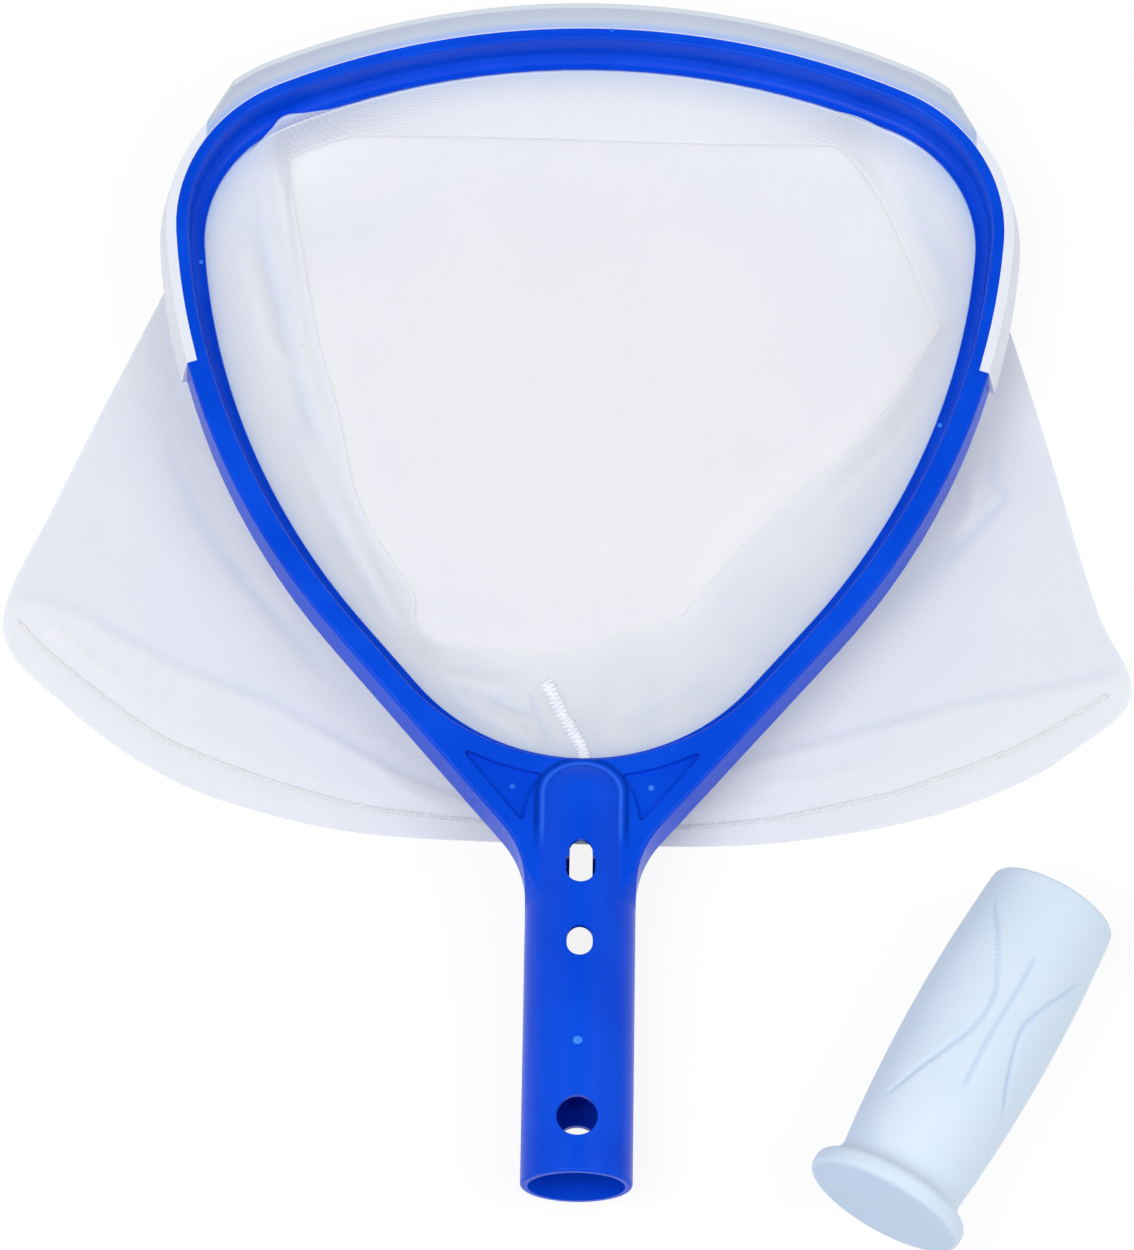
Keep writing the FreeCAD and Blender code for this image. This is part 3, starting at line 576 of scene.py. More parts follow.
@dataclass(frozen=True)
class MouldedPlastic:
    """Blue injection-moulded plastic with a satin face."""

    name: str = "moulded blue plastic"
    light: Colour = (4, 75, 220)
    deep: Colour = (3, 69, 212)
    roughness: float = 0.29
    specular: float = 0.1
    patch: float = 22.0
    grain: float = 0.35
    # the valley round the tube's rounded end, where shade and a highlight are painted: its middle
    # and its size across and along the tube
    valley: tuple[float, float, float] | None = None
    # colours of the painted shade in the valley and of the painted highlight inside it
    valley_painted_shade: Colour = (0, 40, 140)
    edge_painted_highlight: Colour = (72, 132, 240)
    # the heights over which the front begins, and the distances before the valley's middle
    front_heights: tuple[float, float] = (6.0, 7.5)
    valley_start: tuple[float, float] = (17.0, 8.0)
    # the painted shade line and the painted highlight inside it: share of the valley's size, width
    # and strength
    painted_shade_line: tuple[float, float, float] = (1.0, 0.1, 0.7)
    painted_highlight_line: tuple[float, float, float] = (0.86, 0.07, 0.4)

    def paint_valley_shade_and_highlight(self, nodes: Shading, plastic: bpy.types.NodeSocket) -> bpy.types.NodeSocket:
        """Paint shade into the valley and a highlight on the edge inside it, on the front only."""
        parts = nodes.axes(nodes.place())
        middle, across, along = (size * MM for size in self.valley)
        ahead = nodes.maths("MAXIMUM", nodes.maths("SUBTRACT", parts["Y"], middle), 0.0)
        squares = []
        for distance, size in ((parts["X"], across), (ahead, along)):
            share = nodes.maths("DIVIDE", distance, size)
            squares.append(nodes.maths("MULTIPLY", share, share))
        out = nodes.maths("SQRT", nodes.maths("ADD", *squares))
        front = nodes.spread(parts["Z"], *(height * MM for height in self.front_heights))
        start = nodes.spread(parts["Y"], *(middle - ahead * MM for ahead in self.valley_start))
        held = nodes.maths("MULTIPLY", front, start)
        # paint shade along the valley's line and a highlight on the edge inside it
        for line, colour in ((self.painted_shade_line, self.valley_painted_shade), (self.painted_highlight_line, self.edge_painted_highlight)):
            share = nodes.near(out, *line, held)
            plastic = nodes.blend(share, plastic, linear(*colour))
        return plastic

    def material(self, effects: Effects) -> bpy.types.Material:
        """Build the finish."""
        material, nodes, shader = new_material(self.name)
        grain = effects.grain.lay(nodes, self.patch, self.grain).outputs
        share = nodes.spread(grain["Tone"], *TONE_COLOURS)
        plastic = nodes.blend(share, linear(*self.deep), linear(*self.light))
        # painted shade and highlight round the tube's rounded end
        if self.valley is not None:
            plastic = self.paint_valley_shade_and_highlight(nodes, plastic)
        smooth, rough = self.roughness - 0.02, self.roughness + 0.04
        nodes.connect(shader, {
            "Base Color": plastic,
            "Roughness": nodes.spread(grain["Tone"], *TONE_ROUGHNESS, smooth, rough),
            "Specular IOR Level": self.specular,
        })
        nodes.raise_surface(grain["Height"], shader, distance=0.03, strength=0.22)
        return material


@dataclass(frozen=True)
class LipPlastic:
    """Flexible white plastic, with a painted reflection of the blue ring near the ring's face,
    painted shade on the sloping blade and a painted highlight on its top edge.
    """

    strip: Colour = (228, 232, 243)
    # painted light on the blade: the blue ring's reflection near the ring's face, then shade higher
    # up
    blue_reflection: Colour = (176, 198, 236)
    shaded_blade: Colour = (203, 212, 221)
    # a painted highlight along the blade's top edge
    edge: Colour = (212, 219, 229)
    ring_face: float = 10.05
    blade_top: float = 16.5
    least_tone: float = 0.93
    patch: float = 16.0
    grain: float = 0.4
    roughness: tuple[float, float] = (0.42, 0.52)
    specular: float = 0.3

    def material(self, effects: Effects) -> bpy.types.Material:
        """Build the finish."""
        material, nodes, shader = new_material("flexible white plastic")
        grain = effects.grain.lay(nodes, self.patch, self.grain).outputs
        height = nodes.axes(nodes.place())["Z"]
        low, high = self.ring_face * MM, self.blade_top * MM
        # the blade goes from a painted reflection of the blue ring at its foot to painted shade
        # higher up
        rise = nodes.spread(height, low + 0.4 * MM, low + 0.4 * (high - low))
        tone = nodes.spread(grain["Tone"], *TONE_ROUGHNESS, self.least_tone, 1.0)
        shaded_blade = nodes.blend(nodes.maths("MULTIPLY", rise, tone), linear(*self.blue_reflection),
                            linear(*self.shaded_blade))
        above = nodes.spread(height, low + 0.1 * MM, low + 0.4 * MM)
        body = nodes.blend(above, linear(*self.strip), shaded_blade)
        # a painted highlight along the blade's top edge
        top = nodes.spread(height, high - 0.35 * MM, high - 0.1 * MM)
        nodes.connect(shader, {
            "Base Color": nodes.blend(top, body, linear(*self.edge)),
            "Roughness": nodes.spread(grain["Tone"], *TONE_ROUGHNESS, *self.roughness),
            "Specular IOR Level": self.specular,
        })
        nodes.raise_surface(grain["Height"], shader, distance=0.03, strength=0.2)
        return material


@dataclass(frozen=True)
class NettingCloth:
    """Fine white net of thin threads, seen through in part.

    The piece's own attributes carry painted light and shade on its folds, a painted reflection of
    the blue plastic where it lies next to it, and how much of it is seen.
    """

    name: str
    # the colours between which the tone attribute paints light and shade
    light: Colour
    shade: Colour
    # the painted reflection of the blue plastic in the cloth beside it
    reflected_blue: Colour = (150, 196, 255)
    pitch: float = 0.52
    thread_share: float = 0.36
    thin: float = 0.56
    thick: float = 0.65
    drift: float = 0.5
    patch: float = 30.0
    grain: float = 2.4
    roughness: float = 0.6
    specular: float = 0.15

    def material(self, effects: Effects) -> bpy.types.Material:
        """Build the finish."""
        material, nodes, shader = new_material(self.name)
        weave = effects.weave.lay(nodes, self.pitch, self.thread_share).outputs
        grain = effects.grain.lay(nodes, self.patch, self.grain).outputs
        drift = nodes.maths("MULTIPLY_ADD", grain["Tone"], self.drift, -self.drift / 2)
        # the tone attribute paints light and shade by blending the shade colour into the light
        # colour
        share = nodes.maths("ADD", nodes.attribute("tone"), drift)
        share = nodes.spread(share, -1.0, 1.0)
        cloth = nodes.blend(share, linear(*self.shade), linear(*self.light))
        cover = nodes.spread(weave["Cover"], 0.0, 1.0, self.thin, self.thick)
        nodes.connect(shader, {
            # mix in the painted reflection of the blue plastic where the piece's attribute asks for
            # it
            "Base Color": nodes.blend(nodes.attribute("tint"), cloth, linear(*self.reflected_blue)),
            "Alpha": nodes.maths("MULTIPLY", cover, nodes.attribute("cover")),
            "Roughness": self.roughness,
            "Specular IOR Level": self.specular,
        })
        nodes.raise_surface(weave["Height"], shader, distance=0.04, strength=0.12)
        return material


@dataclass(frozen=True)
class SewingThread:
    """White overlock thread."""

    fibre: Colour = (250, 251, 255)
    shade: Colour = (240, 243, 251)
    patch: float = 3.0
    grain: float = 0.25
    roughness: float = 0.7
    specular: float = 0.15

    def material(self, effects: Effects) -> bpy.types.Material:
        """Build the finish."""
        material, nodes, shader = new_material("white sewing thread")
        grain = effects.grain.lay(nodes, self.patch, self.grain).outputs
        share = nodes.spread(grain["Tone"], *TONE_COLOURS)
        nodes.connect(shader, {
            "Base Color": nodes.blend(share, linear(*self.shade), linear(*self.fibre)),
            "Roughness": self.roughness,
            "Specular IOR Level": self.specular,
        })
        nodes.raise_surface(grain["Height"], shader, distance=0.05, strength=0.4)
        return material


@dataclass(frozen=True)
class SoftRubber:
    """Light-blue soft rubber with a matte skin, with painted shade in its creases and on the
    flange's face.
    """

    light: Colour = (214, 229, 244)
    shade: Colour = (208, 225, 242)
    # painted shade: darker in the creases and on the flange's face
    crease: Colour = (166, 192, 228)
    face: Colour = (192, 212, 236)
    patch: float = 24.0
    grain: float = 0.5
    skin_tones: tuple[float, float] = (0.25, 0.75)
    roughness: tuple[float, float] = (0.48, 0.56)
    specular: float = 0.35

    def material(self, effects: Effects) -> bpy.types.Material:
        """Build the finish."""
        material, nodes, shader = new_material("light blue soft rubber")
        grain = effects.grain.lay(nodes, self.patch, self.grain).outputs
        share = nodes.spread(grain["Tone"], *self.skin_tones)
        skin = nodes.blend(share, linear(*self.shade), linear(*self.light))
        # painted shade in the creases and on the flange's face
        skin = nodes.blend(nodes.attribute("crease"), skin, linear(*self.crease))
        nodes.connect(shader, {
            "Base Color": nodes.blend(nodes.attribute("face"), skin, linear(*self.face)),
            "Roughness": nodes.spread(grain["Tone"], *TONE_ROUGHNESS, *self.roughness),
            "Specular IOR Level": self.specular,
        })
        nodes.raise_surface(grain["Height"], shader, distance=0.03, strength=0.2)
        return material


# Moulded parts


def dress_node(name: str, material: bpy.types.Material) -> None:
    """Give a node of the CAD model its material."""
    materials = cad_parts[name].data.materials
    materials.clear()
    materials.append(material)


@dataclass
class MouldedFrame:
    """The blue frame: the CAD solid with its finish, its moulding marks and the teeth of the rim."""

    finish: MouldedPlastic
    contour: RingContour
    teeth_inset: float = 9.6
    teeth_height: float = -0.35
    teeth_pitch: float = 0.72
    tooth_size: float = 0.3
    mark_sink: float = 0.05
    mark_segments: int = 20
    # a mark's section: shares of its radius and of its rise
    mark_section: tuple[Point, ...] = (
        (1.0, 0.0), (0.93, 0.35), (0.78, 0.68), (0.5, 0.9), (0.25, 0.98),
    )
    # the low round marks of the mould's pins and gate: x, y, height of the face, radius and rise
    mark_spots: tuple[tuple[float, float, float, float, float], ...] = (
        (17.9, 104.5, 8.45, 0.85, 0.42), (-17.9, 104.5, 8.45, 0.85, 0.42),
        (-0.1, 34.2, 14.2, 1.3, 0.16), (5.2, 325.4, 10.05, 0.6, 0.28),
        (-104.3, 253.1, 10.05, 0.6, 0.28), (93.5, 207.8, 10.05, 0.6, 0.28),
    )

    def dress(self, effects: Effects) -> bpy.types.Material:
        """Give the CAD frame its plastic and return the material."""
        material = self.finish.material(effects)
        dress_node("frame", material)
        return material

    def teeth(self, material: bpy.types.Material) -> bpy.types.Object:
        """Set small teeth of plastic where the rim bites into the weave."""
        tree = GeometryTree("rim teeth")
        tooth = tree.add("GeometryNodeMeshIcoSphere", {
            "Subdivisions": 1, "Radius": tree.size("Tooth")})
        copies = tree.add("GeometryNodeInstanceOnPoints", {
            "Points": tree.guide_curve(tree.size("Pitch")), "Instance": tooth.outputs["Mesh"]})
        tree.finish(copies.outputs["Instances"], material)
        path = self.contour.mouth(self.teeth_inset)
        points = np.column_stack([path, np.full(len(path), self.teeth_height)])
        piece = tree.apply("rim_teeth", guide_line("rim line", points, closed=True),
                           Pitch=self.teeth_pitch * MM, Tooth=self.tooth_size * MM)
        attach(piece, Body.NET.value)
        return piece

    def marks(self, material: bpy.types.Material) -> bpy.types.Object:
        """Add the low round marks that the mould's pins and gate leave on the front."""
        points, faces = [], []
        count, rings = self.mark_segments, len(self.mark_section)
        for x, y, z, radius, rise in self.mark_spots:
            first = len(points)
            for share, height in self.mark_section:
                for turn in np.linspace(0, 2 * math.pi, count, endpoint=False):
                    points.append((x + radius * share * math.cos(turn),
                                   y + radius * share * math.sin(turn),
                                   z - self.mark_sink + rise * height))
            points.append((x, y, z - self.mark_sink + rise))
            faces += [tuple(first + number for number in face) for face in ring_faces(rings, count)]
            top = first + (rings - 1) * count
            for number in range(count):
                faces.append((top + number, top + (number + 1) % count, len(points) - 1))
        piece = mesh_piece("mould_marks", np.asarray(points), faces)
        piece.data.materials.append(material)
        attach(piece, Body.NET.value)
        return piece


@dataclass
class ScoopLip:
    """The white flexible lip: the CAD solid with its finish."""

    finish: LipPlastic

    def dress(self, effects: Effects) -> None:
        """Give the CAD lip its plastic."""
        dress_node("scoop_lip", self.finish.material(effects))


# Mesh bag


def nearest_on(line: np.ndarray, places: np.ndarray) -> tuple[np.ndarray, np.ndarray]:
    """Find the nearest point of a line to each place.

    Args:
        line: the line's points.
        places: one row of x and y for each place.

    Returns:
        The distance to the nearest point, and that point's number.
    """
    distance = np.full(len(places), FAR)
    number = np.zeros(len(places), int)
    for index, spot in enumerate(line):
        away = np.hypot(places[:, 0] - spot[0], places[:, 1] - spot[1])
        closer = away < distance
        distance[closer] = away[closer]
        number[closer] = index
    return distance, number


@dataclass(frozen=True)
class ClothLine:
    """A soft line in the cloth: a fold that stands up, or a crease that sinks in.

    Its rise is in millimetres, its tone is painted light along it where positive and painted shade,
    bluer, where negative, and it fades out over a share of its length at each end.
    """

    route: tuple[Point, ...]
    rise: float
    width: float
    tone: float
    fade: float = 0.25

    def read(self, places: np.ndarray) -> tuple[np.ndarray, np.ndarray]:
        """Height and tone that the line adds at each place."""
        line = smooth_line(self.route, LINE_STEPS)
        away, number = nearest_on(line, places)
        shape = fade_ends(number / (len(line) - 1), self.fade) * bell(away, self.width)
        return self.rise * shape, self.tone * shape


@dataclass(frozen=True)
class Ripple:
    """A soft unevenness of the cloth.

    Its rise is how strong it is, its size that of the waves and its seed the pattern that is read.
    Its level is added to every wave, and an along below one draws the waves out along the handle.
    """

    rise: float
    size: float
    seed: float
    level: float = 0.0
    along: float = 1.0

    def read(self, places: np.ndarray) -> np.ndarray:
        """How much the unevenness adds at each place."""
        waves = [noise.noise(Vector((x / self.size, y * self.along / self.size, self.seed)))
                 for x, y in places]
        return self.rise * (self.level + np.asarray(waves))


@dataclass
class MeshBag:
    """The soft bag: a wall that folds inside the mouth and spreads under the ring, and a bottom.

    Each sheet is built of rings of points round a hub in the mouth. A ring's rows hold x, y, the
    height, the tone of painted light and shade, the painted blue reflection and the cover that its
    cloth reads.
    """

    contour: RingContour
    upper_cloth: NettingCloth
    bottom_cloth: NettingCloth
    thread: SewingThread
    hub: Point = (0.0, 215.0)
    columns: int = 660
    wall_rows: int = 36
    turn_rows: int = 5
    spread_rows: int = 62
    bottom_rows: int = 44
    rim_inset: float = 9.5
    rim_height: float = -0.9
    fold_height: float = -14.4
    spread_height: float = -14.95
    table_height: float = -15.9
    # the least distance from the rim to the fold, and the runs where the wall begins to bulge
    least_run: float = 2.6
    short_run: float = 6.0
    middle_run: float = 20.0
    long_run: float = 30.0
    # how much closer the wall's rows lie near the rim
    row_bias: float = 1.25
    # the cloth's unevenness: in height on the wall, the spread and the bottom, and in tone
    wall_waves: tuple[Ripple, ...] = (Ripple(0.8, 30.0, 3.1), Ripple(0.35, 10.0, 7.7))
    wall_streaks: Ripple = Ripple(0.5, 9.0, 4.4, along=0.45)
    spread_waves: tuple[Ripple, ...] = (
        Ripple(0.35, 28.0, 1.4, level=0.7), Ripple(0.12, 7.0, 5.2, level=1.0, along=0.45),
    )
    bottom_waves: tuple[Ripple, ...] = (
        Ripple(0.16, 24.0, 9.3, level=1.0), Ripple(0.06, 8.0, 2.9, level=1.0),
    )
    bottom_streaks: Ripple = Ripple(0.35, 22.0, 6.1)
    # strength and reach of the painted reflection of the blue ring in the wall, and the same under
    # the ring
    wall_blue_light: tuple[Point, ...] = ((0.62, 2.2), (0.16, 8.0))
    spread_tint: Point = (0.16, 9.0)
    # how far up the far wall begins, and where along the handle the closed end begins
    far_wall: Point = (292.0, 306.0)
    closed_end: Point = (172.0, 164.0)
    # painted light: on the whole wall, more on the far wall where it faces the light, and on the
    # band inside the closed end
    wall_painted_light: float = 0.45
    far_wall_painted_light: float = 0.7
    ridge_rise: float = 0.9
    band_painted_light: float = 0.3
    edge_rise: float = 0.7
    weave_turn: float = 7.0
    # painted light at the fold's turn, which hides the shade line there, the cover there, and cover
    # where the cloth lies hidden under the wall
    turn_painted_light: float = 0.8
    turn_cover: float = 0.1
    hidden_cover: float = 0.12
    # the seams' stitches, and how far they are sunk into the cloth or lifted from it
    stitch_pitch: float = 0.8
    loop_width: float = 1.5
    loop_thread: float = 0.2
    loop_slant: float = 24.0
    bead_radius: float = 0.2
    end_seam_sink: float = 0.08
    zigzag_width: float = 3.8
    zigzag_thread: float = 0.45
    back_seam_lift: float = 0.05
    # where the cloth is bunched up over the ledge: x, y, reach and height, and how far it leans out
    bunches: tuple[tuple[float, float, float, float], ...] = (
        (-86.0, 306.0, 12.0, 7.6), (76.0, 309.0, 9.0, 3.6),
    )
    bunch_lean: float = 2.0

    # where the wall meets the table inside the mouth, clockwise from the far left
    fold: tuple[Point, ...] = (
        (-83.5, 300), (-80, 304.2), (-74, 304.9), (-25.3, 304.9), (30, 303.8), (62, 303.8),
        (69, 302.8), (74.2, 296.4), (80.6, 285.7), (86.1, 272.6), (93, 254), (94.6, 247.5),
        (92.2, 242.5), (82.4, 225.5), (69.8, 209.8), (54.2, 195.2), (39.5, 178.9), (30.2, 167.1),
        (24, 160.9), (6, 154.6), (-3, 151), (-7.6, 150.3), (-27.1, 151.9), (-39.9, 153.8),
        (-45.4, 160.2), (-45.6, 166.6), (-51.2, 175.8), (-57.9, 186.8), (-63.1, 199.3),
        (-67.8, 220.9), (-74.2, 243.9), (-79.2, 270.2), (-81.7, 283.3),
    )
    # the bag's edge on the table
    outline: tuple[Point, ...] = (
        (-100.5, 293), (-116, 256.3), (-142.1, 193.8), (-154.6, 156.5), (-135.4, 133.1),
        (-111, 115.6), (-86.9, 106), (-54, 99.3), (0, 97.4), (44.3, 97.9), (83.6, 104.4),
        (110, 113.8), (128.5, 125), (145, 142), (135.9, 167.5), (122.1, 221), (109, 267),
        (101, 292), (82, 308), (43, 321), (0, 325.8), (-43, 321), (-82, 308),
    )
    # the soft ridge that runs inside the closed end on either side of the handle
    left_ridge: tuple[Point, ...] = (
        (-153.6, 166), (-145.1, 164.1), (-134.3, 160.8), (-123.3, 154.1), (-109.2, 146.3),
        (-95.2, 140.7), (-80.1, 134.1), (-64, 125.3), (-47.9, 116.5), (-28, 108),
    )
    right_ridge: tuple[Point, ...] = (
        (24, 112), (41.4, 120.5), (62.2, 126.3), (83.1, 132.6), (103.7, 138.5), (124.7, 142.8),
        (142, 147.5),
    )
    # line of the closed end's seam on either side of the handle
    left_seam: tuple[Point, ...] = (
        (-150.4, 158), (-142.3, 149.4), (-123.8, 134.5), (-108.3, 124.2), (-82.6, 113.9),
        (-57.4, 107), (-36, 104.3), (-15.5, 102.3),
    )
    right_seam: tuple[Point, ...] = (
        (15.5, 101.6), (46.6, 104.4), (73.2, 110.6), (86.6, 114.4), (114.4, 126), (133.1, 137.7),
        (138.7, 141.4),
    )
    # the zig-zag seam up the wall from the neck
    back_seam: tuple[Point, ...] = (
        (0.6, 112.6), (-0.2, 119.7), (-5.4, 131.5), (-9.9, 142.4),
    )

    wall_lines: tuple[ClothLine, ...] = (
        ClothLine(((-93.2, 280.1), (-87.7, 262.5), (-82, 240.8), (-74.7, 218), (-67.7, 201)), -1.12,
                  2.2, -0.75),
        ClothLine(((-96.2, 273.8), (-89.6, 252.7), (-85.9, 239.8), (-76.7, 229.8)), 0.84, 2.2, 0.6),
        ClothLine(((-88.8, 300.2), (-84.6, 286.3), (-80.5, 264.1), (-74.4, 228), (-69, 210.8)),
                  0.98, 1.6, 0.75),
        ClothLine(((-92, 292), (-90, 276), (-86, 258), (-80, 236)), -0.63, 1.5, -0.38),
        ClothLine(((-80, 214), (-70, 190), (-58, 168), (-48, 150)), -0.7, 2.0, -0.38),
        ClothLine(((-71, 206), (-62, 184), (-53, 166), (-48, 156)), 0.84, 2.0, 0.6),
        ClothLine(((71.4, 305.6), (80.1, 291.5), (85.8, 277.5), (91.9, 266.9), (96.4, 256.4)), 0.91,
                  1.8, 0.68),
        ClothLine(((84, 296), (90, 281), (97, 265), (99.5, 250)), -0.84, 2.0, -0.52),
        ClothLine(((96, 236), (86, 218), (70, 200), (54, 184)), 0.7, 2.4, 0.38),
        ClothLine(((-27.3, 137.6), (-19.3, 133.8), (-10.7, 130.5)), -0.7, 1.5, -0.98),
        ClothLine(((-14.8, 139.6), (-11.4, 130.5), (-8.4, 120.5)), -0.7, 1.0, -1.12, 0.12),
        ClothLine(((-37.8, 137.1), (-29.7, 130.1), (-18.4, 123.6)), -0.56, 1.8, -0.6),
        ClothLine(((-40, 143), (-28, 141.5), (-18, 140.5)), 0.63, 2.0, 0.45),
        ClothLine(((-24, 130.5), (-17, 126), (-10, 119)), 0.63, 1.8, 0.52),
        ClothLine(((8, 128), (20, 134), (36, 144)), -0.49, 3.0, -0.38),
    )
    wing_lines: tuple[ClothLine, ...] = (
        ClothLine(((-118, 229), (-110.6, 204.3), (-104.7, 190.9), (-96.7, 178.7), (-88.8, 168.4),
                  (-81, 159.3), (-72.7, 149.4), (-64.4, 140.1)), -0.8, 1.5, -1.0),
        ClothLine(((-108, 214), (-99.8, 204.5), (-92.7, 188.1), (-81.4, 169.7), (-70.2, 153.7)),
                  0.98, 3.2, 0.45),
        ClothLine(((110.3, 214.7), (109.5, 203.1), (112.1, 198.5), (104.5, 189), (93.9, 176.3)),
                  -0.7, 1.3, -0.9, 0.15),
        ClothLine(((101.7, 206.7), (103.5, 195.4), (96.8, 184)), 0.85, 2.2, 0.45),
        ClothLine(((104, 190), (95, 182), (84, 170), (72, 158)), -0.39, 4.0, -0.52),
        ClothLine(((-128, 205), (-118, 186), (-100, 166)), 0.52, 7.0, 0.22),
        ClothLine(((118, 205), (116, 180), (104, 158)), 0.52, 8.0, 0.22),
        ClothLine(((-146, 160), (-134, 149), (-119, 138)), 0.45, 1.6, 0.38),
        ClothLine(((-60, 121), (-45, 111), (-30, 104)), 0.52, 1.8, 0.3),
        ClothLine(((40, 112), (62, 116), (84, 122)), 0.39, 2.2, 0.22),
    )
    bottom_lines: tuple[ClothLine, ...] = (
        ClothLine(((-78, 270), (-71.9, 245.6), (-64.8, 221.1), (-59.3, 199.6), (-51.9, 182.1),
                  (-41.3, 166.3)), 0.35, 3.2, 0.9),
        ClothLine(((90.1, 250.9), (86.1, 241.9), (79.2, 228.3), (65.6, 214.7), (52, 202.7),
                  (38.6, 187.8), (28, 170.2), (14.7, 164.2)), 0.35, 3.6, 0.9),
        ClothLine(((-79.1, 300.6), (-71.8, 290.3), (-47.3, 296.4)), 0.3, 6.0, 0.7),
        ClothLine(((-30, 200), (-10, 185), (20, 190)), 0.25, 14.0, 0.3),
    )

    def __post_init__(self) -> None:
        """Work out the curves in every direction from the hub."""
        self.centre = np.asarray(self.hub)
        self.angles = np.linspace(-math.pi, math.pi, self.columns, endpoint=False)
        self.rays = np.column_stack([np.sin(self.angles), np.cos(self.angles)])
        self.ring_radius = self.radii(self.contour.mouth(0.0))
        self.rim_radius = self.radii(self.contour.mouth(self.rim_inset))
        fold = self.radii(smooth_line(self.fold, closed=True))
        self.fold_radius = np.minimum(fold, self.rim_radius - self.least_run)
        self.edge_radius = self.radii(smooth_line(self.outline, closed=True))

    def radii(self, curve: np.ndarray) -> np.ndarray:
        """Distance of a closed curve from the hub along each ray."""
        return polar_radius(curve, self.centre, self.angles)

    def ring_between(self, inner: np.ndarray, outer: np.ndarray, share: float) -> np.ndarray:
        """Places along each ray at a share of the way from one curve to another."""
        return self.centre + self.rays * (inner + (outer - inner) * share)[:, None]

    def reach(self, radii: np.ndarray, places: np.ndarray) -> tuple[np.ndarray, np.ndarray]:
        """Distance of each place from the hub, and that of a curve in the same direction."""
        offset = places - self.centre
        turn = np.arctan2(offset[:, 0], offset[:, 1])
        return np.hypot(*offset.T), np.interp(turn, self.angles, radii, period=2 * math.pi)

    @staticmethod
    def read_lines(lines: Sequence[ClothLine], places: np.ndarray) -> tuple[np.ndarray, np.ndarray]:
        """Height and tone of several soft lines together at each place."""
        lift, tone = np.zeros(len(places)), np.zeros(len(places))
        for line in lines:
            more, lighter = line.read(places)
            lift += more
            tone += lighter
        return lift, tone

    def beyond(self, routes: Sequence[tuple[Point, ...]], places: np.ndarray) -> np.ndarray:
        """How far each place lies outside the nearest of some lines, negative inside it."""
        line = np.vstack([smooth_line(route, LINE_STEPS) for route in routes])
        away, number = nearest_on(line, places)
        here, there = np.hypot(*(places - self.centre).T), np.hypot(*(line - self.centre).T)
        return np.where(here > there[number], away, -away)

    def wall_shape(self, places: np.ndarray, share: np.ndarray) -> tuple[np.ndarray, ...]:
        """Shape of the wall between the rim, share 0, and the fold, share 1.

        Args:
            places: one row of x and y for each place.
            share: how far each place is from the rim to the fold.

        Returns:
            The height, the tone of painted light and shade, and the painted blue reflection at each
            place.
        """
        rim = self.reach(self.rim_radius, places)[1]
        run = np.abs(rim - self.reach(self.fold_radius, places)[1])
        bend = 1.0 + 0.7 * smooth_step(run, self.short_run, self.long_run)
        height = self.rim_height + (self.fold_height - self.rim_height) * (1 - (1 - share) ** bend)
        lift, tone = self.read_lines(self.wall_lines, places)
        # the cloth is held straight at the rim and at the fold
        held = smooth_step(share, 0.0, 0.2) * smooth_step(share, 1.0, 0.82)
        wave = sum(ripple.read(places) for ripple in self.wall_waves)
        height += held * (lift + wave * smooth_step(run, self.short_run, self.middle_run))
        tone += self.wall_streaks.read(places) * held
        # painted reflection of the blue ring, strongest next to the rim
        from_rim = share * np.hypot(run, 10.0)
        tint = sum(strength * np.exp(-from_rim / reach) for strength, reach in self.wall_blue_light)
        far = smooth_step(places[:, 1], *self.far_wall)
        # painted light: the whole wall lighter, the far wall, which faces the light, lighter still
        tone += self.far_wall_painted_light * far * (1.0 - np.abs(places[:, 0]) / 160.0) + self.wall_painted_light
        return np.maximum(height, self.fold_height - 0.1), tone, tint * (1.0 - 0.3 * far)

    def spread_shape(self, places: np.ndarray) -> tuple[np.ndarray, ...]:
        """Height, tone of painted light and shade, and painted blue reflection of the part that lies
        under the ring and outside it.
        """
        here, rim = self.reach(self.rim_radius, places)
        edge = self.reach(self.edge_radius, places)[1]
        ring = self.reach(self.ring_radius, places)[1]
        # the cloth is held down next to the rim, along its edge and under the handle
        free = smooth_step(here - rim, 2.0, 14.0) * smooth_step(edge - here, 0.5, 6.0)
        clear = smooth_step(np.abs(places[:, 0]), 12.0, 30.0)
        lift, tone = self.read_lines(self.wing_lines, places)
        past_ridge = self.beyond((self.left_ridge, self.right_ridge), places)
        past_seam = self.beyond((self.left_seam, self.right_seam), places)
        low = smooth_step(places[:, 1], *self.closed_end)
        band = smooth_step(past_ridge, -1.6, 1.8) * low
        plateau = band * smooth_step(past_seam, 0.0, -5.0)
        lift += self.ridge_rise * plateau * (0.8 + 0.2 * bell(past_ridge, 3.0))
        for ripple in self.spread_waves:
            lift += ripple.read(places)
        # painted light and shade: the band between ridge and edge is lighter where it faces the
        # light, its seam lightest, and painted shade darkens the ridge's foot
        tone += self.band_painted_light * band * smooth_step(past_seam, 1.0, -2.0)
        tone += 0.35 * band * smooth_step(past_seam, 0.0, 1.5)
        tone += 0.5 * low * bell(past_seam, 0.7)
        tone -= 0.35 * low * bell(past_ridge + 1.4, 1.0)
        under = here - ring
        # painted light beside the ring's outside, against the shade that the ring casts on the cloth
        # there
        tone += 0.8 * bell(under, 10.0)
        # painted reflection of the blue ring under its edge
        strength, reach = self.spread_tint
        tint = strength * bell(np.maximum(under, 0.0), reach)
        return self.spread_height + np.maximum(0.0, free * clear * lift), tone * clear, tint

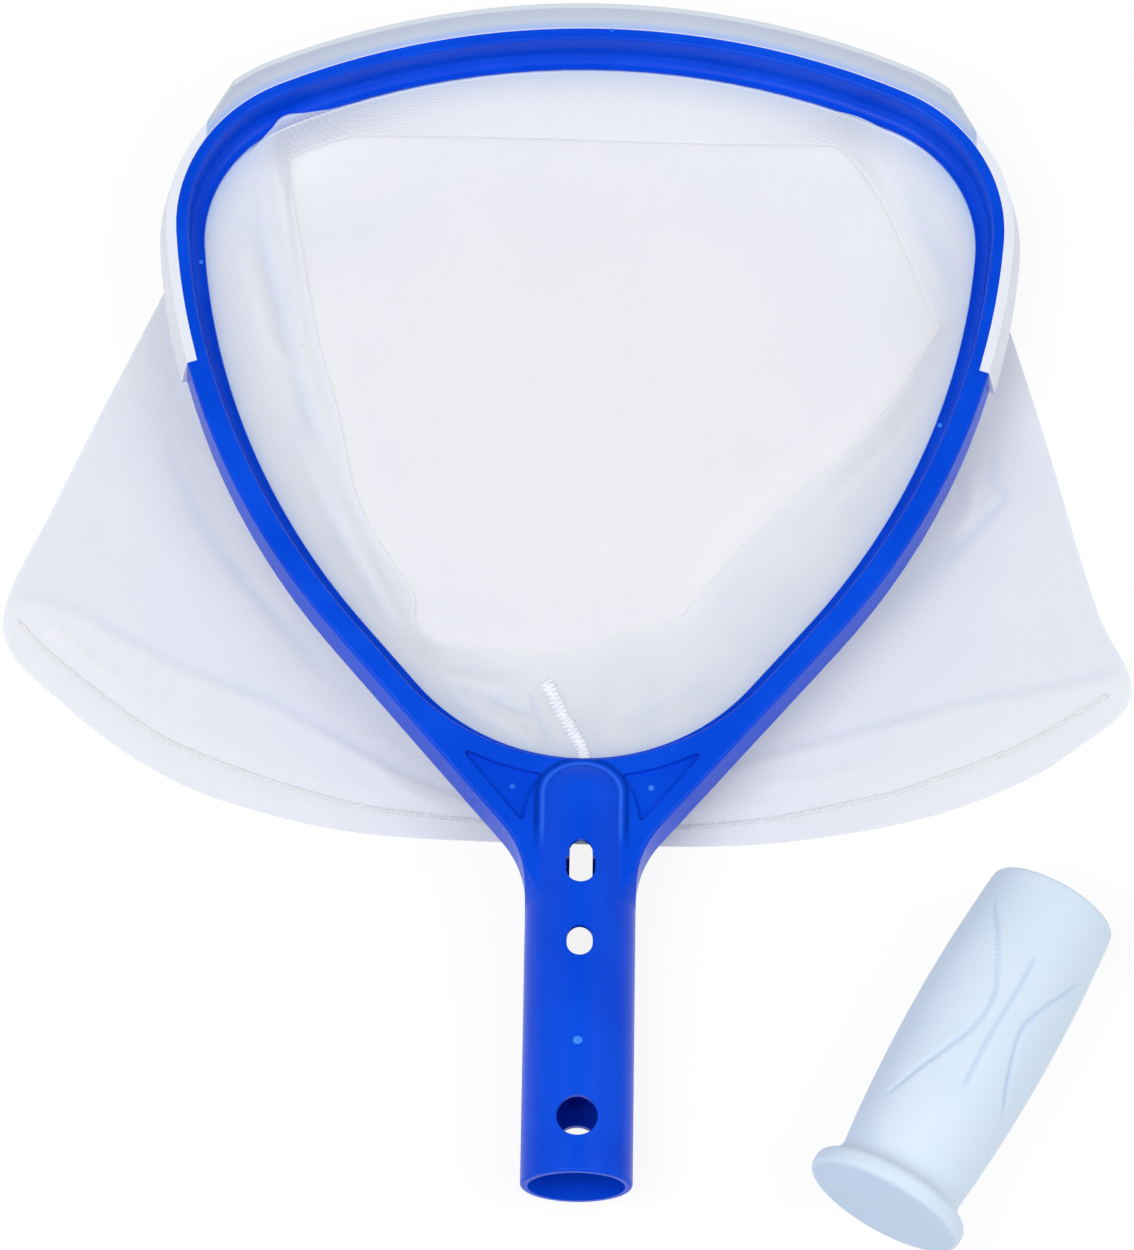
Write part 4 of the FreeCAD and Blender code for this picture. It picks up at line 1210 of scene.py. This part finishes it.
    def wall_rings(self) -> list[np.ndarray]:
        """The wall from the rim to the fold, bunched up over the ledge at some corners."""
        rim, fold = self.rim_radius, self.fold_radius
        on_rim = self.ring_between(rim, rim, 0.0)
        bunch, push = np.zeros(self.columns), np.zeros(self.columns)
        for x, y, size, rise in self.bunches:
            near = np.exp(-((on_rim - (x, y)) ** 2).sum(1) / size ** 2)
            bunch += near * rise
            push += near * self.bunch_lean
        rings = []
        for number in range(self.wall_rows):
            share = (number / (self.wall_rows - 1)) ** self.row_bias
            hump = float(smooth_step(share, 0.0, 0.11) * smooth_step(share, 0.66, 0.2))
            places = self.ring_between(rim, fold, share)
            height, tone, tint = self.wall_shape(places, np.full(self.columns, share))
            height += bunch * hump
            lean = push * smooth_step(height, 2.4, 4.4)
            places = places + self.rays * lean[:, None]
            rings.append(np.column_stack([places, height, tone, tint, np.ones(self.columns)]))
        return rings

    def turn_rings(self) -> list[np.ndarray]:
        """The turn of the cloth at the fold, drawn thin."""
        fold = self.ring_between(self.fold_radius, self.fold_radius, 0.0)
        half = (self.fold_height - self.spread_height) / 2
        rings = []
        for number in range(1, self.turn_rows):
            turn = math.pi * number / self.turn_rows
            places = fold - self.rays * math.sin(turn) * half * 2.0
            height = (self.fold_height + self.spread_height) / 2 + math.cos(turn) * half
            # the turn is painted lighter, which hides the shade line at the fold
            level = (height, self.turn_painted_light, 0.0, self.turn_cover)
            rings.append(np.column_stack([places, np.full((self.columns, 4), level)]))
        return rings

    def spread_rings(self) -> list[np.ndarray]:
        """The spread from the fold to the bag's edge, drawn thin where the wall covers it."""
        rings = []
        for share in np.linspace(0.0, 1.0, self.spread_rows):
            places = self.ring_between(self.fold_radius, self.edge_radius, share)
            here, over = self.reach(self.rim_radius, places)
            seen = smooth_step(here - over, -3.0, 3.0)
            cover = self.hidden_cover + (1.0 - self.hidden_cover) * seen
            rings.append(np.column_stack([places, *self.spread_shape(places), cover]))
        return rings

    def upper(self, material: bpy.types.Material) -> bpy.types.Object:
        """Make the wall, the turn at the fold and the spread as one sheet."""
        rings = self.wall_rings() + self.turn_rings() + self.spread_rings()
        rows = np.vstack(rings)
        turn = math.radians(self.weave_turn)
        weave = np.array([[math.cos(turn), -math.sin(turn)], [math.sin(turn), math.cos(turn)]])
        faces = ring_faces(len(rings), self.columns, flip=True)
        piece = mesh_piece("bag_mesh_upper", rows[:, :3], faces, rows[:, :2] @ weave * MM,
                           marks={"tone": rows[:, 3], "tint": rows[:, 4], "cover": rows[:, 5]})
        piece.data.materials.append(material)
        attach(piece, Body.NET.value)
        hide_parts("bag_upper_panel")
        return piece

    def bottom(self, material: bpy.types.Material) -> bpy.types.Object:
        """Make the single layer that lies on the table, with its edge turned up."""
        shares = np.repeat(np.arange(1, self.bottom_rows + 1) / self.bottom_rows, self.columns)
        rays = np.tile(self.rays * self.edge_radius[:, None], (self.bottom_rows, 1))
        places = np.vstack([self.centre, self.centre + rays * shares[:, None]])
        shares = np.concatenate([[0.0], shares])
        # the soft lines paint light where the sheet rises along the fold
        lift, tone = self.read_lines(self.bottom_lines, places)
        for ripple in self.bottom_waves:
            lift += ripple.read(places)
        height = lift * smooth_step(shares, 1.0, 0.9)
        height += self.edge_rise * smooth_step(shares, 0.985, 1.0)
        tone += self.bottom_streaks.read(places)
        points = np.column_stack([places, self.table_height + height])
        faces = [tuple(number + 1 for number in face)
                 for face in ring_faces(self.bottom_rows, self.columns, flip=True)]
        for column in range(self.columns):
            faces.append((0, 1 + column, 1 + (column + 1) % self.columns))
        marks = {"tone": tone, "tint": np.zeros(len(tone)), "cover": np.ones(len(tone))}
        piece = mesh_piece("bag_mesh_bottom", points, faces, places * MM, marks=marks)
        piece.data.materials.append(material)
        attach(piece, Body.NET.value)
        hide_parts("bag_bottom_panel")
        return piece

    def end_seam(self, material: bpy.types.Material) -> bpy.types.Object:
        """Sew the overlocked seam: a flat bead with slanted loops of thread over it."""
        tree = GeometryTree("overlock seam")
        even = tree.guide_curve(tree.size("Pitch"))
        stitch = tree.add("GeometryNodeMeshCylinder", {
            "Vertices": 6, "Radius": tree.size("Thread"), "Depth": tree.size("Loop Width")})
        lay = tree.add("FunctionNodeAlignRotationToVector", {"Vector": tree.tangent()}, axis="X")
        tip = tree.add("FunctionNodeRotateRotation", {
            "Rotation": lay.outputs["Rotation"],
            "Rotate By": (math.radians(90), 0.0, math.radians(self.loop_slant)),
        }, rotation_space="LOCAL")
        copies = tree.add("GeometryNodeInstanceOnPoints", {
            "Points": even, "Instance": stitch.outputs["Mesh"],
            "Rotation": tip.outputs["Rotation"]})
        both = tree.add("GeometryNodeJoinGeometry", {"Geometry": copies.outputs["Instances"]})
        tree.feed(tree.strand(even, tree.size("Bead Radius"), 8), both.inputs["Geometry"])
        tree.finish(both.outputs["Geometry"], material)
        halves = []
        for name, route in (("left", self.left_seam), ("right", self.right_seam)):
            line = smooth_line(route, 10)
            height = self.spread_shape(line)[0] - self.end_seam_sink
            guide = guide_line(f"{name} seam line", np.column_stack([line, height]))
            halves.append(tree.apply(
                f"{name}_seam", guide, Pitch=self.stitch_pitch * MM,
                Loop_Width=self.loop_width * MM, Thread=self.loop_thread * MM,
                Bead_Radius=self.bead_radius * MM))
        piece = join_pieces("end_seam_stitches", halves)
        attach(piece, Body.NET.value)
        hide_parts("bag_end_seam")
        return piece

    def back_seam_stitches(self, material: bpy.types.Material) -> bpy.types.Object:
        """Sew the zig-zag seam that runs up the wall from the neck."""
        tree = GeometryTree("zig-zag seam")
        thread = tree.size("Thread")
        index = tree.add("GeometryNodeInputIndex").outputs["Index"]
        side = tree.maths("SUBTRACT", tree.maths("PINGPONG", index, 1.0), 0.5)
        across = tree.add("ShaderNodeVectorMath", {0: tree.tangent(), 1: (0.0, 0.0, 1.0)},
                          operation="CROSS_PRODUCT")
        step = tree.add("ShaderNodeVectorMath", {
            0: across.outputs["Vector"], "Scale": tree.maths("MULTIPLY", side, tree.size("Width")),
        }, operation="SCALE")
        kept = tree.add("GeometryNodeCaptureAttribute",
                        {"Geometry": tree.guide_curve(tree.size("Pitch"))}, domain="POINT")
        kept.capture_items.new("VECTOR", "Offset")
        tree.feed(step.outputs["Vector"], kept.inputs["Offset"])
        shift = tree.add("GeometryNodeSetPosition", {
            "Geometry": kept.outputs["Geometry"], "Offset": kept.outputs["Offset"]})
        fine = tree.resample(shift.outputs["Geometry"], thread)
        tree.finish(tree.strand(fine, thread, 6), material)
        line = smooth_line(self.back_seam, 14)
        here, rim = self.reach(self.rim_radius, line)
        fold = self.reach(self.fold_radius, line)[1]
        share = np.clip((here - rim) / (fold - rim), 0.0, 1.0)
        points = np.column_stack([line, self.wall_shape(line, share)[0] + self.back_seam_lift])
        piece = tree.apply("back_seam_stitches", guide_line("back seam line", points),
                           Pitch=self.stitch_pitch * MM, Width=self.zigzag_width * MM,
                           Thread=self.zigzag_thread * MM)
        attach(piece, Body.NET.value)
        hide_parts("bag_back_seam")
        return piece


def join_pieces(name: str, parts: Sequence[bpy.types.Object]) -> bpy.types.Object:
    """Join several mesh objects at the origin into one piece."""
    points, faces = [], []
    for part in parts:
        first = len(points)
        points += [tuple(vertex.co / MM) for vertex in part.data.vertices]
        faces += [tuple(first + number for number in face.vertices) for face in part.data.polygons]
    piece = mesh_piece(name, np.asarray(points), faces)
    for material in parts[0].data.materials:
        piece.data.materials.append(material)
    for part in parts:
        bpy.data.objects.remove(part)
    return piece


# Hand grip


@dataclass
class HandGrip:
    """The rubber sleeve: a domed flange, a barrel with creases round the thumb, and its bore."""

    finish: SoftRubber
    base: Place = (76.45, -6.60, 5.106)
    along: Place = (0.476861, 0.878269, -0.035313)
    bore_radius: float = 14.4
    bore_bottom: float = 14.6
    bottom_ring: float = 7.0
    columns: int = 220
    station_step: float = 0.42
    least_radius: float = 0.4
    crease_depth: float = 0.55
    crease_width: float = 0.6
    # strength of the painted shade in the creases
    crease_tone: float = 0.55
    crease_fade: float = 0.2
    slit_width: float = 0.55

    # the outside from the middle of the flange's face to the open end: distance along and radius
    outside: tuple[Point, ...] = (
        (0, 0), (0.06, 5), (0.24, 10), (0.5, 14.5), (0.78, 18), (1.02, 19.4), (1.45, 20.3),
        (2.1, 20.8), (3, 20.9), (4.2, 20.9), (5, 20.7), (5.8, 20.1), (6.5, 19.2), (7.3, 18.2),
        (8.3, 17.3), (9.6, 16.7), (11.2, 16.5), (13.5, 16.72), (20, 17.36), (32, 18.2), (45, 18.72),
        (58, 18.85), (70, 18.6), (82, 17.99), (90, 17.42), (93, 17.14), (93.9, 16.95), (94.4, 16.5),
        (94.6, 15.9),
    )
    # the lips of the bore, from the open end inwards: distance from that end and radius
    bore_mouth: tuple[Point, ...] = ((0.0, 15.3), (0.25, 14.75), (0.9, 14.4))
    # the creases: distance along the sleeve and turn round it, in degrees
    creases: tuple[tuple[Point, ...], ...] = (
        ((87, -54), (81.3, -41.1), (73.4, -22.5), (61.8, -4), (55, 0.1), (47, -3.6), (38.9, -15),
         (32.4, -26), (25.4, -38.5), (21, -48)),
        ((74, 13.5), (70.7, 13.5), (60.9, 13.4), (52.1, 12.3), (44.8, 12.2), (35.7, 13.5),
         (32, 14.5)),
        ((76, 65), (72.2, 56.8), (63.6, 41.5), (55.7, 32.8), (48.9, 35.7), (41.4, 44.7),
         (36.2, 54.9), (32, 64)),
    )
    # the small slit in the flange's face: its middle to the side and up, half length and depth
    slit: tuple[float, float, float, float] = (-2.6, -9.1, 2.0, 0.45)

    def axes(self) -> tuple[np.ndarray, np.ndarray, np.ndarray, np.ndarray]:
        """The flange's centre and the directions along, to the side of and up from the sleeve."""
        along = np.asarray(self.along) / np.linalg.norm(self.along)
        side = np.cross(along, (0.0, 0.0, 1.0))
        side /= np.linalg.norm(side)
        return np.asarray(self.base), along, side, np.cross(side, along)

    def crease_at(self, distance: np.ndarray, turn: np.ndarray, radius: np.ndarray) -> np.ndarray:
        """How deep the creases are at points of the barrel, given as arrays."""
        depth = np.zeros_like(distance)
        for back in (0.0, 180.0):
            for route in self.creases:
                line = smooth_line(route, 10)
                fades = fade_ends(np.linspace(0.0, 1.0, len(line)), self.crease_fade)
                best, fade = np.full_like(distance, FAR), np.zeros_like(distance)
                for (place, angle), strength in zip(line, fades):
                    swing = (turn - angle - back + 180.0) % 360.0 - 180.0
                    away = np.hypot(distance - place, np.radians(swing) * radius)
                    nearer = away < best
                    best = np.where(nearer, away, best)
                    fade = np.where(nearer, strength, fade)
                depth = np.maximum(depth, fade * bell(best, self.crease_width))
        return depth * self.crease_depth

    def slit_at(self, distance: np.ndarray, turn: np.ndarray, radius: np.ndarray) -> np.ndarray:
        """How deep the slit in the flange's face is at its points, given as arrays."""
        across, up, half, depth = self.slit
        over = np.maximum(np.abs(radius * np.sin(np.radians(turn)) - across) - half, 0.0)
        off = radius * np.cos(np.radians(turn)) - up
        return depth * bell(np.hypot(over, off), self.slit_width) * (distance < 2.0)

    def outer_profile(self) -> np.ndarray:
        """The outside as evenly spaced stations, without the middle of the flange's face."""
        profile = smooth_line(self.outside, 10)
        lengths = np.concatenate([[0], np.cumsum(np.hypot(*np.diff(profile, axis=0).T))])
        stations = [lengths[0]]
        while stations[-1] < lengths[-1] - 1e-6:
            stations.append(min(stations[-1] + self.station_step, lengths[-1]))
        outer = np.column_stack([np.interp(stations, lengths, profile[:, k]) for k in (0, 1)])
        return outer[outer[:, 1] > self.least_radius]

    def inner_profile(self) -> list[Point]:
        """The bore from the open end to its bottom: distance along and radius."""
        mouth = self.outside[-1][0]
        bottom = self.bore_bottom
        return [(mouth - depth, radius) for depth, radius in self.bore_mouth] + [
            (60.0, self.bore_radius), (bottom + 1.0, self.bore_radius),
            (bottom, self.bore_radius - 1.0), (bottom, self.bottom_ring),
        ]

    def sleeve(self, effects: Effects) -> bpy.types.Object:
        """Turn the outside, press the creases in and close the bore."""
        outer, columns = self.outer_profile(), self.columns
        turns = np.linspace(0.0, 360.0, columns, endpoint=False)
        base, along, side, up = self.axes()
        distance, turn = np.meshgrid(outer[:, 0], turns, indexing="ij")
        radius = np.repeat(outer[:, 1][:, None], columns, axis=1)
        pressed = distance + self.slit_at(distance, turn, radius)
        radius = radius - self.crease_at(distance, turn, radius)
        # how deep each point lies in a crease, which sets the painted shade there
        crease = (outer[:, 1][:, None] - radius) / self.crease_depth
        inner = np.array(self.inner_profile())
        distance = np.vstack([pressed, np.repeat(inner[:, :1], columns, axis=1)])
        radius = np.vstack([radius, np.repeat(inner[:, 1:], columns, axis=1)])
        swing = np.radians(turns)
        points = (
            base
            + along * distance[:, :, None]
            + (side * np.sin(swing)[:, None] + up * np.cos(swing)[:, None]) * radius[:, :, None]
        )
        count = len(points)
        faces = ring_faces(count, columns)
        flat = np.vstack([points.reshape(-1, 3), base, base + along * self.bore_bottom])
        face_middle, bottom_middle = len(flat) - 2, len(flat) - 1
        last = (count - 1) * columns
        for column in range(columns):
            after = (column + 1) % columns
            faces.append((after, column, face_middle))
            faces.append((last + column, last + after, bottom_middle))
        crease = np.concatenate([crease.ravel(), np.zeros(len(flat) - crease.size)])
        # mask of the painted shade on the flange's face
        face = smooth_step((flat - base) @ along, 1.5, 0.9)
        piece = mesh_piece("grip_sleeve", flat, faces,
                           marks={"crease": self.crease_tone * crease, "face": face})
        piece.data.materials.append(self.finish.material(effects))
        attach(piece, Body.GRIP.value)
        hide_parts("hand_grip")
        return piece


# Studio


def aim_at(holder: bpy.types.Object, place: Place | Vector, target: Place | Vector) -> None:
    """Put a lamp or the camera at a place, in metres, and turn it to face a target."""
    holder.location = place
    holder.rotation_euler = (Vector(target) - Vector(place)).to_track_quat("-Z", "Y").to_euler()


@dataclass(frozen=True)
class Lamp:
    """One soft square lamp: where it hangs and its side in metres, and its power in watts."""

    name: str
    place: Place
    side: float
    power: float

    def hang(self, target: Place) -> None:
        """Hang the lamp so that it faces a target."""
        light = bpy.data.lights.new(self.name, "AREA")
        light.size = self.side
        light.energy = self.power
        aim_at(add_object(self.name, light), self.place, target)


@dataclass
class Studio:
    """Plain pale floor, soft lamps and the camera at the photograph's angle.

    The room is bright at the sides and darker overhead, where the flat blue faces look, so that
    their colour shows without a veil while the side walls take light reflections.
    """

    table_height: float = -15.97
    floor_reach: float = 4000.0
    floor_colour: tuple[float, float, float, float] = (0.9, 0.9, 0.91, 1.0)
    floor_glow: float = 1.02
    floor_glow_share: float = 0.86
    camera_place: Place = (3.28, -382.1, 1293.6)
    camera_target: Place = (-4.57, 153.18, 0.0)
    lens: float = 153.30
    sensor_width: float = 36.0
    sight: tuple[float, float] = (0.05, 20.0)
    overhead: Place = (0.0, 0.35, 0.937)
    overhead_edge: tuple[float, float] = (0.78, 0.93)
    side_light: float = 0.6
    overhead_light: float = 0.05
    # both lamps hang nearly overhead, the key lamp on the left and the fill on the right
    lamps: tuple[Lamp, ...] = (
        Lamp("key lamp", (-0.6, -0.25, 1.5), 0.9, 12.6),
        Lamp("fill lamp", (0.8, -0.1, 1.35), 1.0, 7.4),
    )
    lamp_target: Place = (0.0, 0.15, 0.0)

    @staticmethod
    def seen(nodes: Shading, *kinds: str) -> bpy.types.NodeSocket:
        """One for the rays of some kinds and zero for the others."""
        rays = nodes.add("ShaderNodeLightPath").outputs
        result = rays[f"Is {kinds[0]} Ray"]
        for kind in kinds[1:]:
            result = nodes.maths("MAXIMUM", result, rays[f"Is {kind} Ray"])
        return result

    def floor(self) -> None:
        """Lay the pale floor, which shows white and keeps some of the object's shadow."""
        reach = self.floor_reach
        corners = np.array([(x * reach, y * reach, self.table_height)
                            for x, y in ((-1, -1), (1, -1), (1, 1), (-1, 1))])
        floor = mesh_piece("studio_floor", corners, [(0, 1, 2, 3)], smooth=False)
        material = bpy.data.materials.new("pale floor")
        material.use_nodes = True
        nodes = Shading(material.node_tree)
        material.node_tree.nodes.clear()
        matte = nodes.add("ShaderNodeBsdfDiffuse", {"Color": self.floor_colour})
        glow = nodes.add("ShaderNodeEmission", {"Color": WHITE, "Strength": self.floor_glow})
        seen = self.seen(nodes, "Camera", "Glossy", "Transmission")
        mix = nodes.add("ShaderNodeMixShader", {
            "Fac": nodes.maths("MULTIPLY", seen, self.floor_glow_share),
            1: matte.outputs["BSDF"], 2: glow.outputs["Emission"]})
        nodes.add("ShaderNodeOutputMaterial", {"Surface": mix.outputs["Shader"]})
        floor.data.materials.append(material)

    def world(self) -> None:
        """Fill the room with light that is stronger at the sides than overhead."""
        world = bpy.data.worlds.new("studio light")
        bpy.context.scene.world = world
        world.use_nodes = True
        nodes = Shading(world.node_tree)
        back = next(node for node in world.node_tree.nodes if node.type == "BACKGROUND")
        where = nodes.add("ShaderNodeTexCoord").outputs["Generated"]
        facing = nodes.add("ShaderNodeVectorMath", {
            0: where, 1: tuple(Vector(self.overhead).normalized())}, operation="DOT_PRODUCT")
        room = nodes.spread(facing.outputs["Value"], *self.overhead_edge,
                            self.side_light, self.overhead_light)
        seen = self.seen(nodes, "Camera", "Transmission")
        unseen = nodes.maths("SUBTRACT", 1.0, seen)
        strength = nodes.maths("ADD", seen, nodes.maths("MULTIPLY", unseen, room))
        nodes.connect(back, {"Color": WHITE, "Strength": strength})

    def camera(self) -> None:
        """Set the camera where the photograph was taken from."""
        lens = bpy.data.cameras.new("photo camera")
        lens.lens = self.lens
        lens.sensor_width = self.sensor_width
        lens.clip_start, lens.clip_end = self.sight
        camera = add_object("photo camera", lens)
        aim_at(camera, Vector(self.camera_place) * MM, Vector(self.camera_target) * MM)
        bpy.context.scene.camera = camera

    def build(self) -> None:
        """Set up the whole studio."""
        bpy.context.scene.view_settings.view_transform = "Standard"
        self.floor()
        self.world()
        for lamp in self.lamps:
            lamp.hang(self.lamp_target)
        self.camera()


def report(piece: bpy.types.Object) -> None:
    """Log a piece's name, its number of faces and its area in square metres."""
    area = sum(face.area for face in piece.data.polygons)
    LOG.info("%s: %d faces, %.5f", piece.name, len(piece.data.polygons), area)


def main() -> None:
    """Build every piece in order."""
    logging.basicConfig(level=logging.INFO, format="%(message)s", stream=sys.stdout)
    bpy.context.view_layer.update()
    effects = Effects()
    contour = RingContour()
    moulding = MouldedFrame(MouldedPlastic(valley=(102.3, 11.7, 9.4)), contour)
    blue = moulding.dress(effects)
    report(moulding.teeth(blue))
    # the pin and gate marks are the frame's own plastic, painted a lighter blue as a highlight
    pin_mark_highlight = MouldedPlastic("pin marks with painted highlight", (62, 138, 238), (34, 108, 232))
    report(moulding.marks(pin_mark_highlight.material(effects)))
    ScoopLip(LipPlastic()).dress(effects)
    bag = MeshBag(
        contour,
        # one net in two colours: the upper painted lighter to make up for the shade that the layers
        # cast on each other, the bottom darker
        NettingCloth("upper netting", (249, 250, 254), (226, 236, 253)),
        NettingCloth("bottom netting", (231, 232, 237), (219, 221, 229)),
        SewingThread(),
    )
    report(bag.upper(bag.upper_cloth.material(effects)))
    report(bag.bottom(bag.bottom_cloth.material(effects)))
    thread = bag.thread.material(effects)
    report(bag.end_seam(thread))
    report(bag.back_seam_stitches(thread))
    report(HandGrip(SoftRubber()).sleeve(effects))
    Studio().build()


if __name__ == "__main__":
    main()
